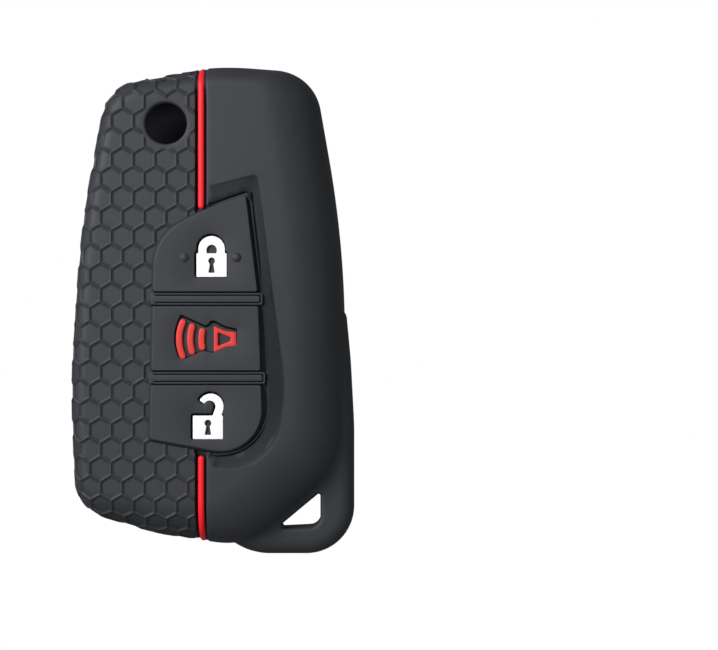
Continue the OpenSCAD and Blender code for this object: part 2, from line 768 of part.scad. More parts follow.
// The hook of the open lock and the leg that it stands on
module open_bow(grow) {
    open_end = hook_open_angle + atan(2 * grow / (hook_r + hook_hole_r));
    polygon(concat(arc_points([0, 0], hook_r + grow, hook_close_angle, open_end),
        arc_points([-hook_hole_shift, 0], hook_hole_r - grow, open_end, hook_close_angle),
        [[hook_leg_left - grow, -hook_lift - lock_corner_r],
            [hook_leg_right + grow, -hook_lift - lock_corner_r]]));
}

module open_lock(grow) {
    padlock_body(grow);
    translate([hook_x, lock_l / 2 + hook_lift])
        open_bow(grow);
}

module symbol_block(lift) {
    translate([0, 0, key_top - pocket_depth])
        linear_extrude(lift)
            children();
}

module lock_button() {
    color(silicone) {
        difference() {
            key_block(lock_corners, lock_radii, lock_foot);
            symbol_block(pocket_depth + cut)
                translate([lock_x, lock_y])
                    closed_lock(symbol_gap);
        }
    }
}

module lock_symbol() {
    color(white)
        symbol_block(pocket_depth - symbol_set)
            translate([lock_x, lock_y])
                difference() {
                    closed_lock(0);
                    keyhole();
                }
}

module unlock_button() {
    color(silicone)
        difference() {
            key_block(unlock_corners, unlock_radii, unlock_foot);
            symbol_block(pocket_depth + cut)
                translate([unlock_x, unlock_y])
                    open_lock(symbol_gap);
        }
}

module unlock_symbol() {
    color(white)
        symbol_block(pocket_depth - symbol_set)
            translate([unlock_x, unlock_y])
                difference() {
                    open_lock(0);
                    keyhole();
                }
}

// Horn with three sound waves
horn_x_share = 0.5625;
horn_y_share = 0.488;
horn_x = pad_x + pad_w * horn_x_share;
horn_y = panic_key_y + panic_key_l * horn_y_share;
wave_w = 1.1;
wave_r = 7;
wave_x = [-5.9, -4.02, -2.11];
wave_reach = [2.89, 2.13, 1.39];
horn_mouth_l = 4.5;
horn_neck_l = 2.75;
horn_back_l = 2.35;
horn_neck_x = 1.95;
horn_w = 3.8;
horn_line_w = 0.7;
horn_hole_w = 2.1;
horn_hole_mouth_l = 2.3;
horn_hole_back_l = 0.65;

module wave(k, grow) {
    // Half the angle that the wave takes on its circle
    half = asin(wave_reach[k] / wave_r);
    middle = [wave_x[k] + wave_r, 0];
    tip_r = wave_w / 2 + grow;
    upper_tip = middle + wave_r * [-cos(half), sin(half)];
    lower_tip = middle + wave_r * [-cos(half), -sin(half)];
    polygon(concat(arc_points(middle, wave_r + tip_r, 180 - half, 180 + half),
        arc_points(lower_tip, tip_r, 180 + half, 360 + half),
        arc_points(middle, wave_r - tip_r, 180 + half, 180 - half),
        arc_points(upper_tip, tip_r, -half, 180 - half)));
}

module horn(grow) {
    polygon([[-grow, -horn_mouth_l / 2 - grow], [horn_neck_x, -horn_neck_l / 2 - grow],
        [horn_w + grow, -horn_back_l / 2 - grow], [horn_w + grow, horn_back_l / 2 + grow],
        [horn_neck_x, horn_neck_l / 2 + grow], [-grow, horn_mouth_l / 2 + grow]]);
}

module horn_hole() {
    polygon([[horn_line_w, -horn_hole_mouth_l / 2], [horn_line_w + horn_hole_w, -horn_hole_back_l / 2],
        [horn_line_w + horn_hole_w, horn_hole_back_l / 2], [horn_line_w, horn_hole_mouth_l / 2]]);
}

module panic_button() {
    color(silicone)
        difference() {
            key_block(panic_corners, panic_radii, panic_foot);
            symbol_block(pocket_depth + cut)
                translate([horn_x, horn_y]) {
                    horn(symbol_gap);
                    for (k = [0:2])
                        wave(k, symbol_gap);
                }
        }
}

module horn_symbol() {
    color(coral)
        symbol_block(pocket_depth - symbol_set)
            translate([horn_x, horn_y])
                difference() {
                    horn(0);
                    horn_hole();
                }
}

module sound_waves() {
    color(coral)
        symbol_block(pocket_depth - symbol_set)
            translate([horn_x, horn_y])
                for (k = [0:2])
                    wave(k, 0);
}

// Two domes beside the padlock
dot_left_gap = 4.63;
dot_right_gap = 4.22;
dot_lift = 1.3;
module tactile_dots() {
    // Radius of the ball that a dome is the top of
    ball_r = (dot_r * dot_r + dot_rise * dot_rise) / (2 * dot_rise);
    color(silicone)
        for (x = [lock_x - dot_left_gap, lock_x + dot_right_gap])
            translate([x, lock_y + dot_lift, key_top])
                intersection() {
                    translate([0, 0, dot_rise - ball_r])
                        sphere(r = ball_r, $fn = small_fn);
                    cylinder(h = dot_rise * 2, r = dot_r * 2, $fn = small_fn);
                }
}

// Divider bars: each closes its two grooves at the gripped side
bar_rise = 0.55;
module divider(y) {
    cap_gap = draft_steep + key_gap;
    color(silicone) {
        translate([0, 0, pad_floor])
            linear_extrude(body_t + bar_rise - pad_floor)
                bar_area(y);
        translate([pad_left(y + key_step / 2) - draft, y + cap_gap, grip_floor])
            cube([draft + bar_cap_w, key_step - 2 * cap_gap, body_t + bar_rise - grip_floor]);
    }
}

module upper_divider() {
    divider(panic_key_top);
}

module lower_divider() {
    divider(unlock_key_top);
}

module pad_rim() {
    color(silicone)
        translate([0, 0, pad_floor])
            linear_extrude(body_t + rim_rise - pad_floor)
                intersection() {
                    difference() {
                        polygon(pad_outline(rim_outer));
                        polygon(pad_outline(rim_inner));
                        key_area(lock_corners, lock_radii, lock_foot, key_gap + web_w);
                    }
                    translate([rim_start_x, -overall_l])
                        square([overall_w, 2 * overall_l]);
                }
}

module upper_stripe() {
    color(red)
        wrap_strip(stripe_w, groove_depth, stripe_set, true, upper_front_y, upper_back_y);
}

module lower_stripe() {
    color(red)
        wrap_strip(stripe_w, groove_depth, stripe_set, false, lower_front_y, lower_back_y);
}

sleeve();
key_ring_tab();
grip_front();
grip_rear();
lock_web();
panic_web();
unlock_web();
lock_button();
panic_button();
unlock_button();
tactile_dots();
upper_divider();
lower_divider();
pad_rim();
lock_symbol();
unlock_symbol();
horn_symbol();
sound_waves();
upper_stripe();
lower_stripe();
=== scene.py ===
import math
from functools import partial
import bmesh
import bpy
import numpy as np
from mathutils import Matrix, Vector, geometry
from mathutils.bvhtree import BVHTree
from mathutils.kdtree import KDTree


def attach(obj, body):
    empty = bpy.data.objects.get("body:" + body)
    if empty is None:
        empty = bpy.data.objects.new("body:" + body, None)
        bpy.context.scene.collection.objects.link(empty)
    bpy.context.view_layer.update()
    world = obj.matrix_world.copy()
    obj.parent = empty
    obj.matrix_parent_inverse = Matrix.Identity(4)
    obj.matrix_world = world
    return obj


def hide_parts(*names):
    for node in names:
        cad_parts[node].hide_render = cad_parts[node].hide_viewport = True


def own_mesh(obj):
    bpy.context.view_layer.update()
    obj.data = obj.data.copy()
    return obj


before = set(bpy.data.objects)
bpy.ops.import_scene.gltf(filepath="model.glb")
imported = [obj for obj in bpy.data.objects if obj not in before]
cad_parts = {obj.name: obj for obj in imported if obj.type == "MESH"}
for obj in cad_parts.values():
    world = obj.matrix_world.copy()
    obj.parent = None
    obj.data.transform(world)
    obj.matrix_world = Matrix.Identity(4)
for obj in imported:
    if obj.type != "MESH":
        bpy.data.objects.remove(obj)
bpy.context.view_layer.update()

# ---------------------------------------------------------------- View and light
# The cover lies on its back and is seen square from above, off its right side, through a
# long lens. One soft panel hangs over its upper left, and the room gives an even, weaker light.
camera_at = (0.02502, -0.002395, 0.369)
lens_mm = 103.5
film_mm = 36
panel_at = Vector((-0.174, 0.111, 0.227))
panel_aim = Vector((0.01, 0.0, 0.01))
panel_size = 0.15
panel_power = 1.22
room_light = 0.38
light_below = 0.18
horizon = 0.1
full_white = (1, 1, 1, 1)
scene = bpy.context.scene
scene.view_settings.view_transform = "Standard"


def in_scene(name, data):
    """A new object in the scene for a camera, a lamp or a mesh."""
    made = bpy.data.objects.new(name, data)
    scene.collection.objects.link(made)
    return made


def node_in(tree, kind, ins=(), **settings):
    """A new node in a tree, with its settings, and with its inputs set or linked."""
    made = tree.nodes.new(kind)
    for key, value in settings.items():
        setattr(made, key, value)
    for key, value in dict(ins).items():
        if isinstance(value, bpy.types.NodeSocket):
            tree.links.new(value, made.inputs[key])
        else:
            made.inputs[key].default_value = value
    return made


camera = in_scene("camera", bpy.data.cameras.new("camera"))
camera.data.lens = lens_mm
camera.data.sensor_width = film_mm
camera.data.clip_start = 0.01
camera.location = camera_at
scene.camera = camera

panel = in_scene("panel", bpy.data.lights.new("panel", "AREA"))
panel.data.shape = "DISK"
panel.data.size = panel_size
panel.data.energy = panel_power
panel.location = panel_at
panel.rotation_euler = (panel_aim - panel_at).to_track_quat("-Z", "Y").to_euler()

world = bpy.data.worlds.new("room")
world.use_nodes = True
scene.world = world
tree = world.node_tree
tree.nodes.clear()
way = node_in(tree, "ShaderNodeTexCoord").outputs["Generated"]
height = node_in(tree, "ShaderNodeSeparateXYZ", {0: way}).outputs["Z"]
above = node_in(tree, "ShaderNodeMapRange", {"Value": height, "From Min": -horizon, "From Max": horizon,
                                             "To Min": light_below, "To Max": room_light})
light = node_in(tree, "ShaderNodeBackground", {"Color": full_white, "Strength": above.outputs["Result"]})
backdrop = node_in(tree, "ShaderNodeBackground", {"Color": full_white})
ray = node_in(tree, "ShaderNodeLightPath").outputs["Is Camera Ray"]
mix = node_in(tree, "ShaderNodeMixShader", {"Fac": ray, 1: light.outputs[0], 2: backdrop.outputs[0]})
node_in(tree, "ShaderNodeOutputWorld", {"Surface": mix.outputs[0]})

# ---------------------------------------------------------------- Floor
# The pale sheet that the cover lies on, so evenly lit that it shows as white paper.
# It is clear from below, and bounces no light of its own back on the cover.
floor_half = 0.6
floor_z = -0.0002
paper_colour = (0.8, 0.8, 0.8, 1)
mesh = bpy.data.meshes.new("floor")
mesh.from_pydata([(x * floor_half, y * floor_half, floor_z)
                  for x, y in ((-1, -1), (1, -1), (1, 1), (-1, 1))], [], [(0, 1, 2, 3)])
floor = in_scene("floor", mesh)
paper = bpy.data.materials.new("paper")
paper.use_nodes = True
tree = paper.node_tree
tree.nodes.clear()
matt = node_in(tree, "ShaderNodeBsdfDiffuse", {"Color": paper_colour}).outputs[0]
bright = node_in(tree, "ShaderNodeEmission").outputs[0]
clear = node_in(tree, "ShaderNodeBsdfTransparent").outputs[0]
ray = node_in(tree, "ShaderNodeLightPath").outputs["Is Camera Ray"]
below = node_in(tree, "ShaderNodeNewGeometry").outputs["Backfacing"]
seen = node_in(tree, "ShaderNodeMixShader", {"Fac": ray, 1: matt, 2: bright}).outputs[0]
sheet = node_in(tree, "ShaderNodeMixShader", {"Fac": below, 1: seen, 2: clear}).outputs[0]
node_in(tree, "ShaderNodeOutputMaterial", {"Surface": sheet})
mesh.materials.append(paper)
floor.visible_diffuse = False
floor.visible_glossy = False
floor.visible_shadow = False

# ---------------------------------------------------------------- Silicone skin
# The sleeve's body is one soft black moulding about 1.8 mm thick that is pulled over the key.
# Its surface is worked out in millimetres from the outline's corners, then meshed with
# creases at the stripe's groove, the pad's pocket, the shallow band and every opening.
mm = 0.001
thick = 19.0
wall = 1.8
half_w = 24.2
half_l = 42.0
face_share = 0.8
column_step, column_least = 0.55, 0.12
mesh_step, row_share, seed_room = 0.85, 0.866, 0.45
merge_gap = 3e-6
finder_reach, same_share, same_spot, settling = 1.001, 0.002, 0.001, 12
even_out = 2.0
least_round = 2.0
body_shares = [(-0.98, -0.806), (-0.444, -0.911), (0.262, -0.976), (0.941, -0.651), (0.927, 0.277),
               (0.714, 0.98), (0.186, 1), (-0.021, 1), (-0.761, 0.923), (-0.938, 0.316),
               (-1, -0.226), (-1, -0.405)]
body_radii = [7.4, 37, 14, 14.7, 178.5, 8, 50, 27.4, 7.8, 173, 111.9, 42]
front_rolls = [(2.5, 4.5), (6.25, 6.25), (8, 11), (11, 9.5), (9.5, 9.5), (9.5, 3.5), (3.5, 3.5),
               (3.5, 3.5), (3.5, 2.5), (2.5, 2.5), (2.5, 2.5), (2.5, 2.5)]
back_rolls = [(5, 5), (5.5, 5.5), (5.5, 8.5), (8.5, 8.5), (8.5, 8.5), (8.5, 3.2), (3.2, 3.2),
              (3.2, 3.2), (3.2, 5), (5, 5), (5, 5), (5, 5)]
front_drops = [4.76, 6.74, 8, 8.5, 8.5, 7.75, 7, 7, 5.25, 3.5, 3.5, 3.5]
back_drops = [5, 6.5, 6.5, 8, 8, 7, 6, 6, 5, 5, 5, 5]


def unit(v):
    """Vectors brought to a length of 1."""
    return v / np.linalg.norm(v, axis=-1, keepdims=True)


def turned(v):
    """Vectors turned a quarter turn to the left."""
    return np.stack([-v[..., 1], v[..., 0]], -1)


def outline(corners, radii, depths=(0, 0), least=0.15, fine=2.0, longest=0.5, like=None):
    """Rounded outline, its sides moved inwards by the depths before and after each corner."""
    corners = np.asarray(corners, float)
    depths = np.broadcast_to(np.asarray(depths, float), corners.shape)
    before = unit(corners - np.roll(corners, 1, 0))
    after = np.roll(before, -1, 0)
    n1, n2 = turned(before), turned(after)
    cosine = (n1 * n2).sum(1, keepdims=True)
    part = (depths[:, :1] - depths[:, 1:]) / 2
    uneven = np.where(part == 0, 0, (n1 - n2) * part / np.maximum(1 - cosine, 1e-9))
    moved = corners + (n1 + n2) * depths.mean(1, keepdims=True) / (1 + cosine) + uneven
    side = np.linalg.norm(np.roll(moved, -1, 0) - moved, axis=1)
    turn = np.arccos(np.clip((before * after).sum(1), -1, 1))
    wanted = np.maximum(np.asarray(radii) - depths.mean(1), least) * np.tan(turn / 2)
    reach = wanted * np.minimum(1, np.minimum(
        np.roll(side, 1) * 0.98 / (wanted + np.roll(wanted, 1)),
        side * 0.98 / (wanted + np.roll(wanted, -1))))
    round_r = reach / np.tan(turn / 2)
    middle = moved + unit(after - before) * (round_r / np.cos(turn / 2))[:, None]
    start = moved - before * reach[:, None] - middle
    if like is None:
        like = [max(2, math.ceil(math.degrees(t) / fine), math.ceil(r * t / longest))
                for t, r in zip(turn, round_r)]
    arcs = []
    for i, count in enumerate(like):
        a = math.atan2(start[i, 1], start[i, 0]) + turn[i] * np.linspace(0, 1, count + 1)
        arcs.append(middle[i] + round_r[i] * np.stack([np.cos(a), np.sin(a)], 1))
    return np.concatenate(arcs), like


def lengths(line):
    """The length along a line up to each of its points."""
    return np.concatenate([[0], np.cumsum(np.linalg.norm(np.diff(line, axis=0), axis=1))])


def looped(at, along, values):
    """The columns of a closed loop's values, read at lengths along it."""
    return np.stack([np.interp(at, along, np.append(c, c[0])) for c in values.T], 1)


def resampled(loop, carried, step):
    """Even steps along a closed loop, with the values that its points carry."""
    along = lengths(np.vstack([loop, loop[:1]]))
    count = int(round(along[-1] / step))
    at = np.arange(count) * along[-1] / count
    return at, along[-1], [looped(at, along, values) for values in (loop, *carried)]


def inside(points, loop):
    """Which points lie in a closed loop."""
    found = np.zeros(len(points), bool)
    x, y = points[:, 0], points[:, 1]
    for (x0, y0), (x1, y1) in zip(loop, np.roll(loop, -1, 0)):
        if y0 != y1:
            found ^= ((y0 > y) != (y1 > y)) & (x < x0 + (y - y0) * (x1 - x0) / (y1 - y0))
    return found


def distance(points, line, closed=True):
    """Distance of each point to a line through points."""
    best = np.full(len(points), 1e9)
    ends = np.roll(line, -1, 0) if closed else line[1:]
    for a, b in zip(line, ends):
        d = b - a
        t = np.clip(((points - a) @ d) / max(d @ d, 1e-12), 0, 1)
        best = np.minimum(best, np.linalg.norm(points - a - t[:, None] * d, axis=1))
    return best


def depth_in(points, loop):
    """How far points lie inside a closed loop, and below zero outside it."""
    return np.where(inside(points, loop), 1, -1) * distance(points, loop)


def smooth(x, low, high):
    """A soft step from 0 at the low value to 1 at the high one."""
    t = np.clip((x - low) / (high - low), 0, 1)
    return t * t * (3 - 2 * t)


body_corners = [(x * half_w, y * half_l) for x, y in body_shares]
rim_points, counts = outline(body_corners, body_radii, least=least_round)


def inwards(depths):
    """How the rim's points move when its sides move inwards by the depths."""
    return outline(body_corners, body_radii, depths, least_round, like=counts)[0] - rim_points


def spread(values):
    """Values at the corners, given to every point of a corner."""
    return np.repeat(np.array(values, float), np.array(counts) + 1)[:, None]


loop_s, loop_l, (rim, front_in, back_in, skin_in, front_drop, back_drop) = resampled(
    rim_points, [inwards(front_rolls), inwards(back_rolls), inwards((wall, wall)),
                 spread(front_drops), spread(back_drops)], column_step)
gap = np.abs(loop_s[:, None] - loop_s[None])
blur = np.exp(-0.5 * (np.minimum(gap, loop_l - gap) / even_out) ** 2)
blur /= blur.sum(1, keepdims=True)
front_in, back_in, front_drop, back_drop = (blur @ v for v in (front_in, back_in, front_drop, back_drop))

# Columns are added where the groove's creases cross the edge between faces and side
stripe_x = -1.72
groove_at = [-1.15, -1.05, -0.98, 0.7, 0.8, 0.9, 1.02, 1.2]
groove_depth = [0.28, 0.4, 1.05, 1.05, 0.42, 0.15, 0.03, 0]
added = []
for move in (front_in, back_in):
    x = (rim + move * (1 - face_share))[:, 0]
    for k in groove_at:
        for i in np.nonzero((x - stripe_x - k) * (np.roll(x, -1) - stripe_x - k) < 0)[0]:
            t = (stripe_x + k - x[i]) / (x[(i + 1) % len(x)] - x[i])
            added.append(loop_s[i] + t * loop_l / len(loop_s))
wide = np.append(loop_s, loop_l)
loop_s = loop_s[np.abs(loop_s[:, None] - np.array(added)[None]).min(1) > column_least]
loop_s = np.sort(np.concatenate([loop_s, added]))
rim, front_in, back_in, skin_in, front_drop, back_drop = (
    looped(loop_s, wide, values)
    for values in (rim, front_in, back_in, skin_in, front_drop, back_drop))
gaps = np.diff(np.append(loop_s, loop_l + loop_s[0]))


class Face:
    """One rounded face of the block: up is 1 for the button side and -1 for the back."""

    def __init__(self, up, skin):
        self.up = up
        move, drop = (front_in, front_drop) if up > 0 else (back_in, back_drop)
        self.level = thick - skin if up > 0 else skin
        self.edge = rim + move
        self.reach = rim + (skin_in if skin else 0) - self.edge
        self.drop = drop[:, 0] - skin
        self.border = self.edge + self.reach * face_share
        last = len(rim)
        ring = np.vstack([self.edge, self.edge + self.reach * finder_reach])
        quads = [(i, (i + 1) % last, last + (i + 1) % last, last + i) for i in range(last)]
        self.finder = BVHTree.FromPolygons([(*p, 0) for p in ring], quads)

    def between(self, i, t):
        """The face's edge and its rounding's reach, a share t on from column i."""
        j, t = (i + 1) % len(rim), t[:, None]
        return self.edge[i] * (1 - t) + self.edge[j] * t, self.reach[i] * (1 - t) + self.reach[j] * t

    def roll(self, i, t, share):
        """Points and normals on the rounding, a share of the way from face to side."""
        j = (i + 1) % len(rim)
        edge, reach = self.between(i, t)
        drop = self.drop[i] * (1 - t) + self.drop[j] * t
        cosine = np.sqrt(np.maximum(1 - share ** 2, 0))
        flat = edge + reach * share[:, None]
        z = self.level - self.up * drop * (1 - cosine)

        def tangent(c):
            a, b = (c - 1) % len(rim), (c + 1) % len(rim)
            span = (gaps[a] + gaps[c])[:, None]
            way = (self.edge[b] - self.edge[a] + (self.reach[b] - self.reach[a]) * share[:, None]) / span
            sink = (self.drop[b] - self.drop[a]) / span[:, 0] * (1 - cosine)
            return np.column_stack([way, -self.up * sink])
        along = tangent(i) * (1 - t)[:, None] + tangent(j) * t[:, None]
        down = np.column_stack([reach * cosine[:, None], -self.up * drop * share])
        normal = self.up * unit(np.cross(down, along))
        return np.column_stack([flat, z]), normal

    def at(self, plan):
        """Points and normals of the face over points of the plan."""
        points = np.column_stack([plan, np.full(len(plan), self.level)])
        normals = np.tile([0.0, 0.0, float(self.up)], (len(plan), 1))
        rolled = np.nonzero(~inside(plan, self.edge))[0]
        if len(rolled):
            p = plan[rolled]
            i = np.array([self.finder.find_nearest((*spot, 0))[2] for spot in p])
            j = (i + 1) % len(rim)
            t = np.full(len(i), 0.5)
            for _ in range(settling):
                edge, reach = self.between(i, t)
                share = ((p - edge) * reach).sum(1) / (reach ** 2).sum(1)
                way = self.edge[j] - self.edge[i] + (self.reach[j] - self.reach[i]) * share[:, None]
                missed = ((p - edge - reach * share[:, None]) * way).sum(1) / (way ** 2).sum(1)
                t = np.clip(t + missed, 0, 1)
            for n in np.nonzero(np.abs(share - face_share) < same_share)[0]:
                nearest = int(np.argmin(((self.border - p[n]) ** 2).sum(1)))
                if np.linalg.norm(self.border[nearest] - p[n]) < same_spot:
                    i[n], t[n], share[n] = nearest, 0, face_share
            points[rolled], normals[rolled] = self.roll(i, t, np.clip(share, 0, 1))
        return points, normals


class Side:
    """The block's side between the two faces, over length along the rim and height."""

    def __init__(self, front, back):
        self.front, self.back = front, back
        cosine = math.sqrt(1 - face_share ** 2)
        self.top = front.level - front.drop * (1 - cosine)
        self.bottom = back.level + back.drop * (1 - cosine)

    def at(self, plan):
        """Points and normals of the side at lengths along the rim and heights."""
        s = plan[:, 0] % loop_l
        i = (np.searchsorted(loop_s, s, side="right") - 1) % len(loop_s)
        t = ((s - loop_s[i]) % loop_l) / gaps[i]
        z = plan[:, 1]
        points = np.zeros((len(s), 3))
        normals = np.zeros((len(s), 3))
        for face in (self.front, self.back):
            drop = face.drop[i] * (1 - t) + face.drop[(i + 1) % len(rim)] * t
            cosine = np.clip(1 - face.up * (face.level - z) / drop, 0, 1)
            point, normal = face.roll(i, t, np.sqrt(1 - cosine ** 2))
            mine = (face.up * (face.level - z) <= drop) | ((face.up > 0) & (normals[:, 0] == 0))
            points[mine], normals[mine] = point[mine], normal[mine]
        points[:, 2] = z
        return points, normals


def meshed(border, holes=(), lines=(), seeds=None, spacing=mesh_step):
    """Points and triangles that fill a border round its holes and along its crease lines."""
    points, edges = [], []
    for loop, whole in [(border, 1)] + [(h, 1) for h in holes] + [(line, 0) for line in lines]:
        start, count = len(points), len(loop)
        points += [Vector(p) for p in loop]
        edges += [(start + i, start + (i + 1) % count) for i in range(count - 1 + whole)]
    if seeds is None:
        low, high = np.min(border, 0), np.max(border, 0)
        rows = np.arange(low[1], high[1], spacing * row_share)
        seeds = np.array([(x + (r % 2) * spacing / 2, y) for r, y in enumerate(rows)
                          for x in np.arange(low[0], high[0], spacing)])
    seeds = seeds[inside(seeds, border)]
    near = KDTree(len(points))
    for i, p in enumerate(points):
        near.insert((*p, 0), i)
    near.balance()
    points += [Vector(p) for p in seeds if near.find((*p, 0))[2] > spacing * seed_room]
    found, _, faces, *_ = geometry.delaunay_2d_cdt(points, edges, [], 1, 1e-7)
    flat = np.array([v[:] for v in found])
    faces = np.array(faces)
    centre = flat[faces].mean(1)
    keep = np.ones(len(faces), bool)
    for hole in holes:
        keep &= ~inside(centre, np.asarray(hole))
    return flat, faces[keep]


def grown(loop, by):
    """An anticlockwise loop moved outwards."""
    way = unit(np.roll(loop, -1, 0) - np.roll(loop, 1, 0))
    return loop - turned(way) * by


def banded(rings):
    """Quads between rings of as many points."""
    count = len(rings[0])
    return np.concatenate(rings), [
        (r * count + i, r * count + (i + 1) % count, (r + 1) * count + (i + 1) % count, (r + 1) * count + i)
        for r in range(len(rings) - 1) for i in range(count)]


def closed(mesh, merge=0.0, sliver=1e-7, rounds=5):
    """Merges doubles, clears slivers and loose bits, fills cracks and turns the faces outwards."""
    work = bmesh.new()
    work.from_mesh(mesh)
    if merge:
        bmesh.ops.remove_doubles(work, verts=work.verts, dist=merge)
    bmesh.ops.dissolve_degenerate(work, dist=sliver, edges=work.edges)
    torn = []
    for _ in range(rounds):
        bmesh.ops.delete(work, geom=torn, context="FACES")
        extra = {min(e.link_faces, key=lambda f: f.calc_area())
                 for e in work.edges if len(e.link_faces) > 2}
        bmesh.ops.delete(work, geom=list(extra), context="FACES")
        bmesh.ops.delete(work, geom=[e for e in work.edges if not e.link_faces], context="EDGES")
        bmesh.ops.delete(work, geom=[v for v in work.verts if not v.link_faces], context="VERTS")
        bmesh.ops.holes_fill(work, edges=[e for e in work.edges if e.is_boundary], sides=0)
        torn = list({f for e in work.edges if e.is_boundary for f in e.link_faces})
    bmesh.ops.recalc_face_normals(work, faces=work.faces)
    work.to_mesh(mesh)
    work.free()
    mesh.shade_smooth()


def finished(name, mesh, body, replaces):
    """The object of a finished mesh, with what it is made of, rides on and stands for."""
    made = in_scene(name, mesh)
    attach(made, body)
    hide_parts(*replaces)
    return made


def piece(name, parts, material, replaces, body="root", sharp=40):
    """One object from parts in millimetres, its doubles merged and its faces turned outwards."""
    points, faces = [], []
    for spots, corners in parts:
        faces += [tuple(int(v) + len(points) for v in f) for f in corners]
        points += [tuple(p * mm) for p in np.asarray(spots)]
    mesh = bpy.data.meshes.new(name)
    mesh.from_pydata(points, [], faces)
    closed(mesh, merge_gap)
    mesh.set_sharp_from_angle(angle=math.radians(sharp))
    mesh.materials.append(material)
    return finished(name, mesh, body, replaces)


def spots_of(made):
    """A piece's points in millimetres."""
    return np.array([v.co[:] for v in made.data.vertices]) / mm


def keep_values(mesh, name, values):
    """Keeps a number or a vector for each point of a mesh, for nodes to read."""
    kind, field = ("FLOAT", "value") if values.ndim == 1 else ("FLOAT_VECTOR", "vector")
    layer = mesh.attributes.new(name, kind, "POINT")
    layer.data.foreach_set(field, np.ascontiguousarray(values, np.float32).ravel())


# Pad outline and its parts, as shares of the pad's width and length
pad_x, pad_w, pad_y, pad_l = -10.35, 19.2, -25.2, 45.05
pad_corners = [(pad_x + a * pad_w, pad_y + b * pad_l) for a, b in (
    (0, 0.078), (1, 0), (0.952, 0.613), (0.843, 1), (0.561, 0.959), (0.041, 0.837))]
pad_radii = [0.6, 7, 120, 0.4, 40, 8.9]


def by_side(depths):
    """A depth for each side as pairs for the corners, before and after each."""
    return list(zip([depths[-1], *depths[:-1]], depths))


def pad_line(plain, top, gripped):
    """The pad's outline, grown by so much on its plain sides, its top and its gripped side."""
    return outline(pad_corners, pad_radii, by_side([-plain, -plain, -plain, -top, -gripped, -gripped]),
                   fine=6, longest=0.4)[0]


def dense(loop, step):
    """A closed loop with no side longer than a step."""
    points = []
    for a, b in zip(loop, np.roll(loop, -1, 0)):
        count = max(1, math.ceil(np.linalg.norm(b - a) / step))
        points += [a + (b - a) * k / count for k in range(count)]
    points = np.array(points)
    return points[np.linalg.norm(points - np.roll(points, 1, 0), axis=1) > 1e-4]


def on_line(a, b, y):
    """How far along x the line through two points lies at a y."""
    return a[0] + (b[0] - a[0]) * (y - a[1]) / (b[1] - a[1])


def pad_left(y):
    """The pad's gripped side."""
    return on_line(pad_corners[0], pad_corners[5], y)


def pad_right(y):
    """The pad's plain side, which bends once."""
    low = np.asarray(y) < pad_corners[2][1]
    return np.where(low, on_line(pad_corners[1], pad_corners[2], y),
                    on_line(pad_corners[2], pad_corners[3], y))


key_rise, pad_sink, comb_sink = 0.7, 0.8, 0.28
key_inset = {"lock": [0, 0, 0.25, 0, 0]}
key_top = thick + key_rise
draft, steep, key_gap, web_w = 0.5, 0.1, 0.1, 0.3
seam_w, bar_w = 0.69, 1.1
key_step = 2 * seam_w + bar_w
panic_y, panic_l = pad_y + 15.08, 10.9
panic_end = panic_y + panic_l
lock_start = panic_end + key_step
unlock_end = panic_y - key_step
keys = {
    "lock": ([(pad_left(lock_start), lock_start), (pad_right(lock_start), lock_start),
              pad_corners[3], pad_corners[4], pad_corners[5]],
             [0.35, 0.35, 0.4, 40, 8.9], [steep, steep, steep, draft, draft]),
    "panic": ([(pad_left(panic_y), panic_y), (pad_right(panic_y), panic_y),
               (pad_right(panic_end), panic_end), (pad_left(panic_end), panic_end)],
              [0.35] * 4, [steep, steep, steep, draft]),
    "unlock": ([pad_corners[0], pad_corners[1], (pad_right(unlock_end), unlock_end),
                (pad_left(unlock_end), unlock_end)], [0.6, 7, 0.35, 0.35],
               [draft, steep, steep, draft])}


def key_line(key, share, grow=0.0):
    """A button's outline: share 0 is its top, 1 its foot, and grow is added all round."""
    corners, radii, foot = keys[key]
    sides = [inset - share * f - grow for f, inset in zip(foot, key_inset.get(key, [0] * len(foot)))]
    return outline(corners, radii, by_side(sides), like=key_counts[key])[0]


key_counts = {key: outline(c, r, fine=8, longest=0.3)[1] for key, (c, r, _) in keys.items()}

# Shallow band that leads from the plain face down to the rim
band_out = outline([(pad_x + a * pad_w, pad_y + b * pad_l) for a, b in (
    (0.5, 0.35), (0.55, -0.035), (1.122, -0.044), (1.195, 0.282), (0.956, 1.079), (0.513, 1.03),
    (0.5, 0.65))], [1, 1, 9, 25, 1, 1, 1], fine=6)[0]
rim_gap, rim_w = 0.5, 0.4
rim_y = [-26.2, -24.5, -20, -16, -9, -2, 5]
rim_out = [-0.15, -0.18, 0.05, 0.45, 0.6, 0.2, 0]
rim_shift_x = (0, 2.5)
rim_line = dense(pad_line(rim_gap + rim_w / 2, draft, draft), 0.4)
rim_way = turned(unit(np.roll(rim_line, -1, 0) - np.roll(rim_line, 1, 0)))
rim_line = rim_line - rim_way * (np.interp(rim_line[:, 1], rim_y, rim_out)
                                 * smooth(rim_line[:, 0], *rim_shift_x))[:, None]
pocket_x, pocket_by, pocket_y = [-9.9, -9, -3, 1], [0, -0.45, -0.45, 0.4], (-23, -17)
pocket_fold, pocket_start = 0.12, (0.4, 0.5)
pocket_out = np.interp(rim_line[:, 0], pocket_x, pocket_by)
pocket_out *= 1 - smooth(rim_line[:, 1], *pocket_y)
pocket_line = grown(rim_line, pocket_out[:, None])
band_y = [-26, -22, -16, 2, 9]
band_sink = [0.35, 0.3, 0.08, 0.08, 0.3]
band_step, band_step_w = 0.3, 0.3
end_share, end_y = 0.85, (34, 40)


